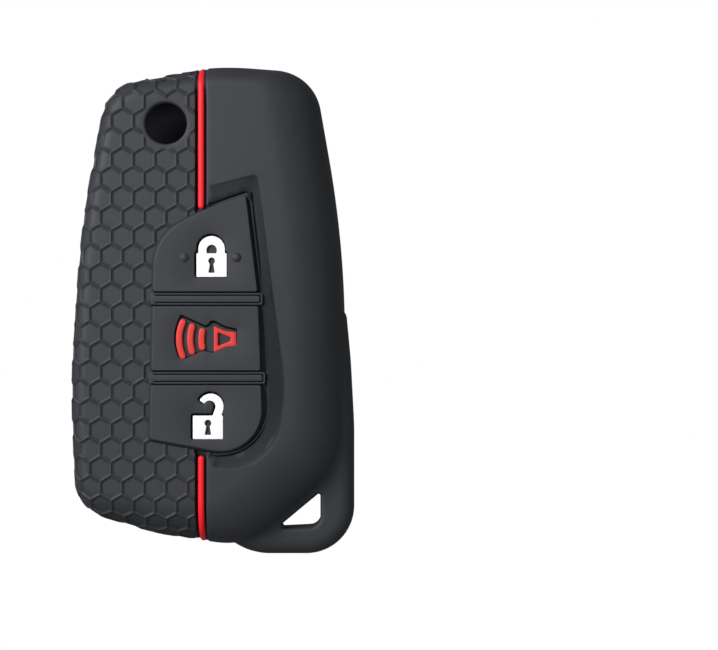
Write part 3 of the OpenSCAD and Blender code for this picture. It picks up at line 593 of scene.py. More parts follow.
def groove_sink(x, y):
    """How deep the groove lies, and the cell floors beside it. It is shallower at both ends."""
    deep = np.interp(x - stripe_x, groove_at, groove_depth)
    beside = np.where(x < stripe_x, comb_sink, 0)
    return deep - end_share * smooth(np.abs(y), *end_y) * np.maximum(deep - beside, 0)


def front_sink(plan):
    """How far the front lies under the plain block: groove, cell floors, band and pocket."""
    x, y = plan[:, 0], plan[:, 1]
    out = distance(plan, band_out)
    slope = out / (out + distance(plan, rim_line) + 1e-6)
    band = np.interp(y, band_y, band_sink) * (
        band_step * smooth(out, 0, band_step_w) + (1 - band_step) * slope)
    band *= inside(plan, band_out) & (x > stripe_x + groove_at[-1])
    pocket = smooth(depth_in(plan, pocket_line), -pocket_fold, pocket_fold)
    pocket *= smooth(x - pad_left(y), *pocket_start)
    return np.maximum(np.maximum(groove_sink(x, y), band), pad_sink * pocket)


outer_front, outer_back = Face(1, 0), Face(-1, 0)
inner_front, inner_back = Face(1, wall), Face(-1, wall)
outer_side, inner_side = Side(outer_front, outer_back), Side(inner_front, inner_back)


def on_front(plan, sink=0.0):
    """Points of the finished front over the plan, sunk further where a sink is given."""
    points, normals = outer_front.at(plan)
    return points - normals * (front_sink(plan) + sink)[:, None]


def on_back(plan, sink=0.0):
    """The same for the back."""
    points, normals = outer_back.at(plan)
    return points - normals * (groove_sink(*plan.T) + sink)[:, None]


def on_side(plan, sink=0.0):
    """The same for the side, whose plan is length along the rim and height."""
    points, normals = outer_side.at(plan)
    return points - normals * (groove_sink(*points[:, :2].T) + sink)[:, None]


def oval(cx, cy, rx, ry, count):
    """An oval's points, anticlockwise."""
    a = np.linspace(0, 2 * math.pi, count, endpoint=False)
    return np.stack([cx + rx * np.cos(a), cy + ry * np.sin(a)], 1)


def lip(place, inner, loop, r, steps=5):
    """A rounded lip round an opening, and its wall down to the inner skin."""
    rings = [place(grown(loop, r * (1 - math.sin(a))), r * (1 - math.cos(a)))
             for a in np.linspace(0, math.pi / 2, steps + 1)]
    return banded([*rings, inner.at(loop)[0]])


release_r = 3.5
release_at = (-7.75, 31.85)
release = oval(*release_at, release_r, release_r, 64)
release_lip = 0.5
window_at, window_reach = (-1.4, 23.85), (9.55, 6.8)
window = oval(*window_at, *window_reach, 96)
window_lip = 0.8
apertures = [dense(key_line(key, 1, key_gap + web_w), 0.5) for key in keys]
crease_gap, crease_step = 0.1, 0.7
fold_start, fold_at = 1.7, (-0.25, 0, 0.2)


def crossings(x, loop):
    """Where a closed loop crosses an upright line in the plan."""
    return [a[1] + (b[1] - a[1]) * (x - a[0]) / (b[0] - a[0])
            for a, b in zip(loop, np.roll(loop, -1, 0)) if (a[0] - x) * (b[0] - x) <= 0 and a[0] != b[0]]


def creases(face, holes):
    """The groove's creases over a face, upper and lower ones, stopped short of its openings."""
    lines = []
    for k in groove_at:
        x = stripe_x + k
        for most, gap in ((max, crease_gap), (min, -crease_gap)):
            end = most(crossings(x, face.border))
            stop = most(y for hole in holes for y in crossings(x, hole)) + gap
            count = math.ceil(abs(end - stop) / crease_step)
            lines.append(np.array([(x, end + (stop - end) * i / count) for i in range(count + 1)]))
    return lines


def cut_short(line, holes, margin=0.15):
    """The longest run of a crease that keeps clear of the openings and the groove."""
    clear = line[:, 0] > stripe_x + fold_start
    for hole in holes:
        clear &= ~inside(line, grown(hole, margin))
    runs, run = [], []
    for ok, p in zip([*clear, *clear], [*line, *line]):
        if ok:
            run.append(p)
        else:
            runs.append(run)
            run = []
    return np.array(max(runs, key=len) if runs else run)


# Besides the groove's creases the front has those of the band's fold and of the pocket's edge
fold_lines = [grown(band_out, by)[8:-4] for by in fold_at]
fold_lines += [grown(pocket_line, by) for by in (-pocket_fold, 0, pocket_fold)]
front_holes = [grown(release, release_lip), *apertures]
back_holes = [grown(window, window_lip)]
front_plan, front_faces = meshed(
    outer_front.border, front_holes,
    creases(outer_front, apertures) + [cut_short(line, front_holes) for line in fold_lines])
back_plan, back_faces = meshed(outer_back.border, back_holes, creases(outer_back, back_holes))

# The side is filled as a strip along the rim, with the slot that the blade swings out of
slot_z, slot_half, slot_lip = 9.8, 3.25, 0.6
slot_end_x, slot_end_y = -7, -22


def along_rim(axis, value, where):
    """Length along the rim at which it crosses a value, on the part where a test holds."""
    a, b = rim[:, axis] - value, np.roll(rim[:, axis], -1) - value
    i = np.nonzero((a * b <= 0) & where)[0][0]
    return loop_s[i] + gaps[i] * a[i] / (a[i] - b[i])


def stadium(low, high, z, r, step=0.45):
    """A long opening with round ends, over length along the rim and height."""
    bottom = np.arange(low, high, step)
    turn = np.linspace(-math.pi / 2, math.pi / 2, 25)
    return np.array([(s, z - r) for s in bottom]
                    + [(high + r * math.cos(a), z + r * math.sin(a)) for a in turn[:-1]]
                    + [(s + step / 2, z + r) for s in bottom[::-1]]
                    + [(low - r * math.cos(a), z - r * math.sin(a)) for a in turn[:-1]])


slot = stadium(along_rim(0, slot_end_x, rim[:, 1] > 0), along_rim(1, slot_end_y, rim[:, 0] < 0),
               slot_z, slot_half)


def strip_border(side, step=0.8):
    """The side's border over rim length and height, its two ends alike."""
    ends = np.append(loop_s, loop_l + loop_s[0])
    low, high = np.append(side.bottom, side.bottom[0]), np.append(side.top, side.top[0])
    rise = np.linspace(low[0], high[0], math.ceil((high[0] - low[0]) / step) + 1)[1:-1]
    return np.array([*zip(ends, low), *[(ends[-1], z) for z in rise],
                     *zip(ends[::-1], high[::-1]), *[(ends[0], z) for z in rise[::-1]]])


def side_at(k, middle, z, search=2.5, count=41):
    """Length along the rim, near a middle, at which the side has one of the groove's creases."""
    near = np.linspace(middle - search, middle + search, count)
    x = outer_side.at(np.stack([near, np.full(count, z)], 1))[0][:, 0] - stripe_x - k
    order = np.argsort(x)
    return np.interp(0, x[order], near[order])


def side_creases():
    """The groove's creases round both ends of the block."""
    lines, count = [], len(added) // 2
    for n in range(count):
        i, j = (int(np.argmin(np.abs(loop_s - s))) for s in (added[n], added[n + count]))
        high, low = outer_side.top[i], outer_side.bottom[j]
        between = [(side_at(groove_at[n // 2], loop_s[i], z), z) for z in np.linspace(high, low, 18)[1:-1]]
        lines.append(np.array([(loop_s[i], high), *between, (loop_s[j], low)]))
    return lines


side_plan, side_faces = meshed(strip_border(outer_side), [grown(slot, slot_lip)], side_creases())
inner_step = 2.6
inner_parts = []
for place, border, holes in ((inner_front, inner_front.border, [release, *apertures]),
                             (inner_back, inner_back.border, [window]),
                             (inner_side, strip_border(inner_side), [slot])):
    plan, faces = meshed(border, holes, spacing=inner_step)
    inner_parts.append((place.at(plan)[0], faces))


def math_in(tree, operation, a, b=0.0):
    """The result of one sum in a tree."""
    return node_in(tree, "ShaderNodeMath", {0: a, 1: b}, operation=operation).outputs[0]


def moulded_grain():
    """Fine tooth of the mould, soft unevenness and pale dust, from where a point lies."""
    group = bpy.data.node_groups.new("moulded_grain", "ShaderNodeTree")
    for name, value in (("Tooth Scale", 9000), ("Dust", 0.5)):
        socket = group.interface.new_socket(name=name, in_out="INPUT", socket_type="NodeSocketFloat")
        socket.default_value = value
        socket.min_value = 0
    for name in ("Height", "Tone", "Dust Mask"):
        group.interface.new_socket(name=name, in_out="OUTPUT", socket_type="NodeSocketFloat")
    given = node_in(group, "NodeGroupInput").outputs
    place = node_in(group, "ShaderNodeTexCoord").outputs["Object"]

    def noise(scale, detail):
        return node_in(group, "ShaderNodeTexNoise",
                       {"Vector": place, "Scale": scale, "Detail": detail}).outputs["Fac"]
    specks = node_in(group, "ShaderNodeMapRange",
                     {"Value": noise(5200, 1), "From Min": 0.72, "From Max": 0.8}).outputs["Result"]
    node_in(group, "NodeGroupOutput", {
        "Height": noise(given["Tooth Scale"], 2), "Tone": noise(160, 3),
        "Dust Mask": math_in(group, "MULTIPLY", specks, given["Dust"])})
    return group


grain = moulded_grain()
# Pale dust, then the colour and the low gloss that painted shade darkens towards
dust_colour, painted_shade_colour = (0.32, 0.32, 0.33, 1), (0.2, 0.2, 0.22, 1)
gloss, painted_shade_gloss = 0.35, 0.05
rough_spread, tooth_height = 0.05, 0.00003


def silicone(slot_name, low, high, roughness, dust=0.12, bump=0.06):
    """Matte moulded silicone between two close tones, with the mould's tooth and a little dust, darkened by
    painted shade where a point carries it.
    """
    material = bpy.data.materials.new(f"{slot_name}_finish")
    material["slot"] = slot_name
    material.use_nodes = True
    tree = material.node_tree
    made = node_in(tree, "ShaderNodeGroup", {"Dust": dust}, node_tree=grain).outputs
    # Painted shade, kept for each point, darkens the colour and lowers the gloss
    painted_shade = node_in(tree, "ShaderNodeAttribute", attribute_name="painted_shade").outputs["Fac"]

    def mixed(factor, a, b, **settings):
        return node_in(tree, "ShaderNodeMix", {"Factor": factor, "A": a, "B": b},
                       data_type="RGBA", **settings).outputs["Result"]

    def ranged(value, low, high):
        return node_in(tree, "ShaderNodeMapRange",
                       {"Value": value, "To Min": low, "To Max": high}).outputs["Result"]
    dusty = mixed(made["Dust Mask"], mixed(made["Tone"], (*low, 1), (*high, 1)), dust_colour)
    raised = node_in(tree, "ShaderNodeBump",
                     {"Strength": bump, "Distance": tooth_height, "Height": made["Height"]})
    for name, value in (
            ("Base Color", mixed(painted_shade, dusty, painted_shade_colour, blend_type="MULTIPLY")),
            ("Roughness", ranged(made["Tone"], roughness - rough_spread, roughness + rough_spread)),
            ("Specular IOR Level", ranged(painted_shade, gloss, painted_shade_gloss)),
            ("Normal", raised.outputs["Normal"])):
        tree.links.new(value, tree.nodes["Principled BSDF"].inputs[name])
    return material


black = silicone("silicone_black", (0.019, 0.0205, 0.025), (0.025, 0.027, 0.032), 0.62)

skin = piece("silicone_skin", [
    (on_front(front_plan), front_faces), (on_back(back_plan), back_faces),
    (on_side(side_plan), side_faces), *inner_parts,
    lip(on_front, inner_front, release, release_lip), lip(on_back, inner_back, window, window_lip),
    lip(on_side, inner_side, slot, slot_lip),
    *[banded([on_front(loop), inner_front.at(loop)[0]]) for loop in apertures]],
    black, replaces=["sleeve"])

# The band is painted darker and less glossy than the plain face, least so at its foot. Painted shade darkens
# the groove beside the bead and the inside of the sleeve.
band_dark_y, band_dark, top_band_dark = [-24, -14], [0.4, 0.6], 0.4
top_from_y, top_until_x, band_from = (10, 14), (4, 6.5), 1.3
band_edge, band_rim_edge = (-0.1, 0.2), (0, 0.1)
groove_shade, groove_shade_depth = 0.7, (0.42, 1.05)
inside_shade, deep_end_shade, deep_y, within_share = 0.5, 0.95, (24, 29), 0.7
spots = spots_of(skin)
plan, x, y = spots[:, :2], spots[:, 0], spots[:, 1]
painted_shade = smooth(depth_in(plan, band_out), *band_edge)
painted_shade *= 1 - smooth(depth_in(plan, rim_line), *band_rim_edge)
above = smooth(y, *top_from_y) * (1 - smooth(x, *top_until_x))
painted_shade *= np.interp(y, band_dark_y, band_dark) * (1 - above) + top_band_dark * above
painted_shade *= (x > stripe_x + band_from) & (spots[:, 2] > thick - wall)
# Painted shadow on the groove's floor and walls beside the bead
groove = smooth(np.interp(x - stripe_x, groove_at, groove_depth), *groove_shade_depth)
painted_shade = np.maximum(painted_shade, groove_shade * groove)
# Painted shade inside the sleeve, deepest towards its end by the release hole
within = inside(plan, rim + skin_in * within_share)
for face in (outer_front, outer_back):
    within &= face.up * (face.at(plan)[0][:, 2] - spots[:, 2]) > wall * within_share
painted_shade = np.where(within, inside_shade + (deep_end_shade - inside_shade) * smooth(y, *deep_y), painted_shade)
keep_values(skin.data, "painted_shade", painted_shade)

# ---------------------------------------------------------------- Key-ring tab
# The flange that grows out of the sleeve's slanted corner, moulded with it, 7 mm thick with a
# rounded edge. The ring's split wire goes through its three-cornered hole.
tab_half, tab_z, tab_edge, tab_step = 3.5, 9.6, 2.4, 0.8
tab_corners = [(x * half_w, y * half_l) for x, y in (
    (0, -0.85), (0.1, -0.965), (0.34, -1), (1, -1), (1, -0.47), (0.975, -0.2), (0.935, 0.045), (0.8, 0))]
tab_radii = [2, 12, 12, 8.3, 70, 70, 2, 2]
tab_line = dense(outline(tab_corners, tab_radii, least=least_round, fine=3)[0], 0.5)
hole_start, hole_off, hole_l, hole_leg, hole_rise = 6.6, 0.5, 8.6, 0.8, 0.45
hole_along = unit(np.array(body_corners[3]) - np.array(body_corners[2]))
hole_low = np.array(body_corners[2]) + hole_along * hole_start - turned(hole_along) * hole_off
hole_high = hole_low + hole_along * hole_l
ring_hole = dense(outline([(hole_low[0], hole_low[1] - hole_leg + hole_rise), (hole_high[0], hole_low[1]),
                           hole_high + (0, hole_rise), hole_low + (0, hole_rise)],
                          [0.3, 1.9, 0.3, 0.3], fine=8)[0], 0.4)
ring_hole_lip = 0.7
blend_out, blend_in, blend_corner, blend_under = 3.4, 0.9, 0.35, 0.12
blend_foot = {1: 14.1, -1: 4.5}


def tab_face(plan, up, sink=0.0):
    """The tab's flat face, with the broad hollow blend up to the sleeve's rounding."""
    depth = depth_in(plan, rim)
    t = np.linspace(0, 1, 24)
    run = (1 - t) ** 2 * blend_out + 2 * t * (1 - t) * -blend_corner - t ** 2 * blend_in
    rise = (1 - t ** 2) * (tab_z + up * tab_half) + t ** 2 * blend_foot[up]
    z = np.interp(depth, -run, rise)
    deep = depth > blend_in
    face = outer_front if up > 0 else outer_back
    z[deep] = face.at(plan[deep])[0][:, 2] - up * blend_under
    return np.column_stack([plan, z - up * sink])


quarter = np.linspace(0, math.pi / 2, 7)
tab_edges = [tab_face(grown(tab_line, -tab_edge * (1 - math.cos(a))), up, tab_edge * (1 - math.sin(a)))
             for up, turns in ((-1, quarter[::-1]), (1, quarter)) for a in turns]
hole_rings = [tab_face(grown(ring_hole, ring_hole_lip * (1 - math.sin(a))), up,
                       ring_hole_lip * (1 - math.cos(a)))
              for up, turns in ((1, quarter), (-1, quarter[::-1])) for a in turns]
tab_plan, tab_faces = meshed(grown(tab_line, -tab_edge), [grown(ring_hole, ring_hole_lip)],
                             spacing=tab_step)
piece("key_ring_flange", [
    banded(tab_edges), banded(hole_rings),
    (tab_face(tab_plan, 1), tab_faces), (tab_face(tab_plan, -1), tab_faces)],
    black, replaces=["key_ring_tab"])

# ---------------------------------------------------------------- Honeycomb grip
# A net of fine rounded ridges that the mould leaves on the gripped part of both faces, carried
# round their edges. It is laid out flat, cell by cell, and wrapped onto the skin.
pitch, ridge_w, ridge_h = 3.7, 0.82, 0.225
ridge_profile = [(0.107, 0.92), (0.213, 0.72), (0.32, 0.48), (0.453, 0.22), (0.6, 0.07), (0.8, 0.0),
                 (1.0, -0.1), (0.0, -0.25)]
ridge_fade, ridge_spare, ridge_sunk = 0.3, 0.3, -0.3
ridge_merge = 0.00001


def geometry_tree(name, inputs, output):
    """A new tree that makes one mesh, with its named inputs."""
    group = bpy.data.node_groups.new(name, "GeometryNodeTree")
    for key, kind in inputs.items():
        group.interface.new_socket(name=key, in_out="INPUT", socket_type=f"NodeSocket{kind}")
    group.interface.new_socket(name=output, in_out="OUTPUT", socket_type="NodeSocketGeometry")
    return group


def net_tree():
    """Lays staggered hexagon cells over the unrolled skin and lifts them off it as ridges."""
    group = geometry_tree("honeycomb_net", {
        "Skin": "Geometry", "Pitch": "Float", "Ridge Width": "Float", "Ridge Height": "Float",
        "Columns": "Int", "Rows": "Int", "Stretch": "Vector", "Middle": "Vector", "Limit": "Float",
        "Over": "Float", "Finish": "Material"}, "Net")
    node, math_of = partial(node_in, group), partial(math_in, group)
    given = node("NodeGroupInput").outputs

    # One cell: a hexagon, from which the ridge's profile steps inwards and down
    corner = math_of("DIVIDE", given["Pitch"], math.sqrt(3))
    hexagon = node("GeometryNodeMeshCircle", {"Vertices": 6, "Radius": corner}).outputs["Mesh"]
    turn = node("GeometryNodeTransform", {"Geometry": hexagon, "Rotation": (0, 0, math.pi / 6)})
    cell = node("GeometryNodeSubdivideMesh", {"Mesh": turn.outputs["Geometry"], "Level": 3})
    crest = node("ShaderNodeCombineXYZ", {"Z": given["Ridge Height"]}).outputs[0]
    tile = node("GeometryNodeSetPosition", {"Geometry": cell.outputs["Mesh"], "Offset": crest}).outputs[0]
    inset = math_of("DIVIDE", given["Ridge Width"], given["Pitch"])
    at, was, edge = node("GeometryNodeInputPosition").outputs[0], 0.0, True
    for share, height in ridge_profile:
        grow = node("GeometryNodeExtrudeMesh", {"Mesh": tile, "Selection": edge, "Offset Scale": 0.0},
                    mode="EDGES")
        now = math_of("SUBTRACT", 1.0, math_of("MULTIPLY", inset, share))
        before = math_of("SUBTRACT", 1.0, math_of("MULTIPLY", inset, was))
        scale = node("ShaderNodeVectorMath", {0: at, "Scale": math_of("DIVIDE", now, before)},
                     operation="SCALE").outputs[0]
        spread_out = node("ShaderNodeSeparateXYZ", {0: scale}).outputs
        level = math_of("MULTIPLY", given["Ridge Height"], height)
        place = node("ShaderNodeCombineXYZ", {"X": spread_out[0], "Y": spread_out[1], "Z": level}).outputs[0]
        tile = node("GeometryNodeSetPosition", {"Geometry": grow.outputs["Mesh"],
                    "Selection": grow.outputs["Top"], "Position": place}).outputs[0]
        was, edge = share, grow.outputs["Top"]

    # The field: rows of cells, every second one moved by half a cell
    row_gap = math_of("MULTIPLY", given["Pitch"], math.sin(math.pi / 3))
    across = math_of("SUBTRACT", given["Columns"], 1.0)
    along = math_of("SUBTRACT", given["Rows"], 1.0)
    field = node("GeometryNodeMeshGrid", {
        "Size X": math_of("MULTIPLY", across, given["Pitch"]),
        "Size Y": math_of("MULTIPLY", along, row_gap),
        "Vertices X": given["Columns"], "Vertices Y": given["Rows"]}).outputs["Mesh"]
    where = node("ShaderNodeSeparateXYZ", {0: at}).outputs
    row = math_of("ROUND", math_of("DIVIDE", where[1], row_gap))
    odd = math_of("ABSOLUTE", math_of("MODULO", row, 2.0))
    shift = node("ShaderNodeCombineXYZ", {
        "X": math_of("MULTIPLY", odd, math_of("DIVIDE", given["Pitch"], 2.0))}).outputs[0]
    field = node("GeometryNodeSetPosition", {"Geometry": field, "Offset": shift}).outputs[0]
    net = node("GeometryNodeInstanceOnPoints", {"Points": field, "Instance": tile}).outputs[0]
    net = node("GeometryNodeRealizeInstances", {"Geometry": net}).outputs[0]
    net = node("GeometryNodeMergeByDistance", {"Geometry": net, "Distance": ridge_merge}).outputs[0]

    # Where each point falls on the unrolled skin, and how far the groove is
    laid = node("ShaderNodeVectorMath", {0: at, 1: given["Stretch"]}, operation="MULTIPLY")
    laid = node("ShaderNodeVectorMath", {0: laid.outputs[0], 1: given["Middle"]}).outputs[0]
    over = math_of("SUBTRACT", node("ShaderNodeSeparateXYZ", {0: laid}).outputs[0], given["Limit"])
    over = math_of("GREATER_THAN", over, given["Over"])
    limit = node("ShaderNodeCombineXYZ", {"X": given["Limit"], "Y": 1.0, "Z": 1.0}).outputs[0]
    laid = node("ShaderNodeVectorMath", {0: laid, 1: limit}, operation="MINIMUM").outputs[0]

    def sampled(kind, name):
        value = node("GeometryNodeInputNamedAttribute", {"Name": name}, data_type=kind).outputs[0]
        unrolled = node("GeometryNodeInputNamedAttribute", {"Name": "unrolled"},
                        data_type="FLOAT_VECTOR").outputs[0]
        return node("GeometryNodeSampleUVSurface", {
            "Mesh": given["Skin"], "Value": value, "Source UV Map": unrolled,
            "Sample UV": laid}, data_type=kind).outputs

    # The net is lifted off the skin, lower near its borders, and what lies past them goes
    room, found = sampled("FLOAT", "room")[:2]
    kept = node("GeometryNodeCaptureAttribute", {"Geometry": net})
    for kind, name, value in (("FLOAT", "room", room), ("BOOLEAN", "found", found), ("FLOAT", "over", over)):
        kept.capture_items.new(kind, name)
        group.links.new(value, kept.inputs[name])
    room, found, over = (kept.outputs[name] for name in ("room", "found", "over"))
    fade = node("ShaderNodeMapRange", {"Value": room, "From Min": 0.0, "From Max": ridge_fade},
                interpolation_type="SMOOTHSTEP").outputs[0]
    height = node("ShaderNodeSeparateXYZ", {0: at}).outputs[2]
    sunk = math_of("MULTIPLY", given["Ridge Height"], ridge_sunk)
    lift = node("ShaderNodeMix", {"Factor": fade, "A": sunk, "B": height}).outputs[0]
    lifted = node("ShaderNodeVectorMath", {0: sampled("FLOAT_VECTOR", "outward")[0], "Scale": lift},
                  operation="SCALE").outputs[0]
    place = node("ShaderNodeVectorMath", {0: sampled("FLOAT_VECTOR", "place")[0], 1: lifted}).outputs[0]
    net = node("GeometryNodeSetPosition", {"Geometry": kept.outputs[0], "Position": place}).outputs[0]
    outside = math_of("LESS_THAN", room, -ridge_spare)
    missed = node("FunctionNodeBooleanMath", {0: found}, operation="NOT").outputs[0]
    gone = node("FunctionNodeBooleanMath", {0: outside, 1: missed}, operation="OR").outputs[0]
    gone = node("FunctionNodeBooleanMath", {0: gone, 1: over}, operation="OR").outputs[0]
    net = node("GeometryNodeDeleteGeometry", {"Geometry": net, "Selection": gone}).outputs[0]
    net = node("GeometryNodeSetMaterial", {"Geometry": net, "Material": given["Finish"]}).outputs[0]
    node("NodeGroupOutput", {"Net": net})
    return group


def by_nodes(name, carrier, tree, values, replaces):
    """Runs a node tree on a carrier mesh and keeps the result as a plain object."""
    modifier = carrier.modifiers.new(tree.name, "NODES")
    modifier.node_group = tree
    sockets = {i.name: i.identifier for i in tree.interface.items_tree if i.in_out == "INPUT"}
    for key, value in values.items():
        modifier[sockets[key]] = value
    shown = carrier.evaluated_get(bpy.context.evaluated_depsgraph_get())
    mesh = bpy.data.meshes.new_from_object(shown)
    mesh.name = name
    carrier.modifiers.remove(modifier)
    bpy.data.objects.remove(carrier)
    closed(mesh)
    return finished(name, mesh, "root", replaces)


carrier_step, carrier_rows, carrier_walls = 1.2, 10, 12
seam_gap, seam_room, slot_room = 0.2, 0.4, 0.3


def skin_carrier(face, borders):
    """The skin under the net, with where it lies unrolled and its room to the net's borders."""
    flat, faces = meshed(face.edge, spacing=carrier_step)
    flat_points, flat_normals = face.at(flat)
    points, normals, laid = [flat_points], [flat_normals], [flat]
    count = len(rim)
    way = face.reach / np.linalg.norm(face.reach, axis=1)[:, None]
    arc = np.zeros(count)
    for k, share in enumerate(np.sin(np.linspace(0, math.pi / 2, carrier_rows))):
        point, normal = face.roll(np.arange(count), np.zeros(count), np.full(count, share))
        if k:
            arc = arc + np.linalg.norm(point - points[-1], axis=1)
        points.append(point)
        normals.append(normal)
        laid.append(face.edge + way * arc[:, None])
    last = points[-1]
    seam = slot_z + face.up * seam_gap
    for share in np.linspace(0, 1, carrier_walls)[1:]:
        point = last.copy()
        point[:, 2] += (seam - point[:, 2]) * share
        points.append(point)
        normals.append(normals[carrier_rows])
        laid.append(face.edge + way * (arc + np.abs(last[:, 2] - point[:, 2]))[:, None])
    rings = len(points) - 1
    faces = [tuple(int(v) for v in f) for f in faces]
    faces += [tuple(int(v) + len(flat) for v in q) for q in banded([np.zeros((count, 3))] * rings)[1]]
    where, outward = np.concatenate(points), np.concatenate(normals)
    room = face.up * (where[:, 2] - slot_z) - seam_room
    for border in borders:
        room = np.minimum(room, border(where))
    by_slot = np.column_stack([np.tile(loop_s, rings), where[len(flat):, 2]])
    room[len(flat):] = np.minimum(room[len(flat):], -depth_in(by_slot, grown(slot, slot_lip + slot_room)))
    place = (where - outward * ridge_h) * mm
    mesh = bpy.data.meshes.new("carrier")
    mesh.from_pydata([tuple(p) for p in place], [], faces)
    unrolled = np.column_stack([np.concatenate(laid) * mm, np.zeros(len(where))])
    for name, values in (("place", place), ("outward", outward), ("unrolled", unrolled), ("room", room)):
        keep_values(mesh, name, values)
    return in_scene("carrier", mesh)


pad_room, release_room, window_room = 0.3, 0.7, 0.1


def off_pad(where):
    """How far points lie outside the pad and its margin."""
    return pad_room - depth_in(where[:, :2], dense(pad_line(draft, draft, draft), 0.5))


def off_release(where):
    """How far they lie from the margin of the release hole."""
    return np.linalg.norm(where[:, :2] - release_at, axis=1) - release_r - release_room


def off_window(where):
    """How far they lie from the margin of the back's window."""
    return -depth_in(where[:, :2], grown(window, window_lip + window_room))


net = net_tree()
net_values = {"Pitch": pitch * mm, "Ridge Width": ridge_w * mm, "Ridge Height": ridge_h * mm,
              "Columns": 19, "Rows": 51, "Stretch": (0.997, 1.0236, 1),
              "Middle": (-13.36 * mm, 22.43 * mm, 0),
              "Limit": (stripe_x + groove_at[0]) * mm, "Over": 0.3 * mm, "Finish": black}
for name, face, borders, node in (("honeycomb_front", outer_front, [off_pad, off_release], "grip_front"),
                                  ("honeycomb_rear", outer_back, [off_window], "grip_rear")):
    by_nodes(name, skin_carrier(face, borders), net, net_values, [node])

# ---------------------------------------------------------------- Red stripes
# A round bead of red silicone laid in the groove, in two lengths: from the pad over each end of
# the cover to the back's window. Its tips are rounded.
bead_w, bead_t, bead_set, bead_shift = 1.06, 0.84, 0.03, -0.05
bead_step, plate_step, tip_steps, tip_blunt = 0.35, 0.4, [0.04, 0.12, 0.24], 1.02
red = silicone("silicone_red", (0.8, 0.006, 0.014), (0.88, 0.01, 0.02), 0.5, dust=0.1, bump=0.03)


def bead_tree():
    """Sweeps an oval bead along a path and rounds its two tips."""
    group = geometry_tree("bead_along_groove", {
        "Path": "Geometry", "Width": "Float", "Thickness": "Float", "Finish": "Material"}, "Bead")
    node, math_of = partial(node_in, group), partial(math_in, group)
    given = node("NodeGroupInput").outputs
    curve = node("GeometryNodeMeshToCurve", {"Mesh": given["Path"]}).outputs[0]
    along = node("GeometryNodeSplineParameter").outputs["Length"]
    whole = node("GeometryNodeSplineLength").outputs["Length"]
    near = math_of("MINIMUM", math_of("SUBTRACT", whole, along), along)
    tip = node("ShaderNodeMapRange", {"Value": near, "From Max": math_of("MULTIPLY", given["Width"], 0.5),
                                      "To Min": 1, "To Max": 0}).outputs["Result"]
    radius = math_of("SQRT", math_of("SUBTRACT", tip_blunt, math_of("MULTIPLY", tip, tip)))
    ring = node("GeometryNodeCurvePrimitiveCircle", {"Resolution": 20, "Radius": 0.5}).outputs["Curve"]
    size = node("ShaderNodeCombineXYZ", {"X": given["Width"], "Y": given["Thickness"]}).outputs[0]
    ring = node("GeometryNodeTransform", {"Geometry": ring, "Scale": size}).outputs[0]
    bead = node("GeometryNodeCurveToMesh", {"Curve": curve, "Profile Curve": ring, "Scale": radius,
                                            "Fill Caps": True}).outputs[0]
    bead = node("GeometryNodeSetMaterial", {"Geometry": bead, "Material": given["Finish"]}).outputs[0]
    bead = node("GeometryNodeRealizeInstances", {"Geometry": bead}).outputs[0]
    node("NodeGroupOutput", {"Bead": bead})
    return group


def bead_path(most, front_y, back_y):
    """The groove's middle line on the skin, from the front round the end to the back."""
    def sunk(surface, plan):
        points, normals = surface.at(plan)
        return points - normals * (bead_set + bead_t / 2)

    def plate(face, y):
        border = most(crossings(stripe_x, face.border))
        ys = np.linspace(y, border, math.ceil(abs(border - y) / plate_step) + 1)
        return sunk(face, np.column_stack([np.full(len(ys), stripe_x), ys]))
    middle = along_rim(0, stripe_x, most(1, -1) * rim[:, 1] > 0)
    rows = np.linspace(*(np.interp(middle, loop_s, z) for z in (outer_side.top, outer_side.bottom)), 34)
    around_end = sunk(outer_side, np.array([(side_at(0, middle, z), z) for z in rows[1:-1]]))
    path = np.vstack([plate(outer_front, front_y), around_end, plate(outer_back, back_y)[::-1]])
    path[:, 0] = stripe_x + bead_shift
    run = lengths(path)
    even = np.linspace(0, run[-1], int(run[-1] / bead_step))
    even = np.sort(np.concatenate([even, tip_steps, run[-1] - np.array(tip_steps)]))
    return np.stack([np.interp(even, run, c) for c in path.T], 1)


bead = bead_tree()
for name, most, front_y, back_y, node in (("stripe_upper", max, 17.3, 31.3, "upper_stripe"),
                                          ("stripe_lower", min, -24.6, 16.3, "lower_stripe")):
    path = bead_path(most, front_y, back_y)
    mesh = bpy.data.meshes.new("path")
    mesh.from_pydata([tuple(p * mm) for p in path], [(i, i + 1) for i in range(len(path) - 1)], [])
    by_nodes(name, in_scene("path", mesh), bead,
             {"Width": bead_w * mm, "Thickness": bead_t * mm, "Finish": red}, [node])

# ---------------------------------------------------------------- Button webs
# A thin strip of the skin runs all round each button's foot. It is flush with the floor beside it.
def split_like(loop, guide, step):
    """Splits a loop's sides as finely as its guide's, so that both have as many points."""
    points = []
    for a, b, c, d in zip(loop, np.roll(loop, -1, 0), guide, np.roll(guide, -1, 0)):
        count = max(1, math.ceil(np.linalg.norm(d - c) / step))
        points += [a + (b - a) * k / count for k in range(count)]
    return np.array(points)


def at_height(loop, z):
    """A loop of the plan at one height, or at a height for each point."""
    return np.column_stack([loop, np.full(len(loop), z)])


web_foot, web_step, web_under = thick - wall, 0.45, 0.03
for key in keys:
    guide = key_line(key, 1)
    outer = split_like(key_line(key, 1, key_gap + web_w), guide, web_step)
    inner = split_like(key_line(key, 1, -web_under), guide, web_step)
    floor_at = on_front(outer)
    web = piece(f"{key}_button_web", [banded([
        at_height(outer, web_foot), floor_at, at_height(inner, floor_at[:, 2]),
        at_height(inner, web_foot), at_height(outer, web_foot)])], black,
        replaces=[f"{key}_web"], sharp=60)
    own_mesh(web)

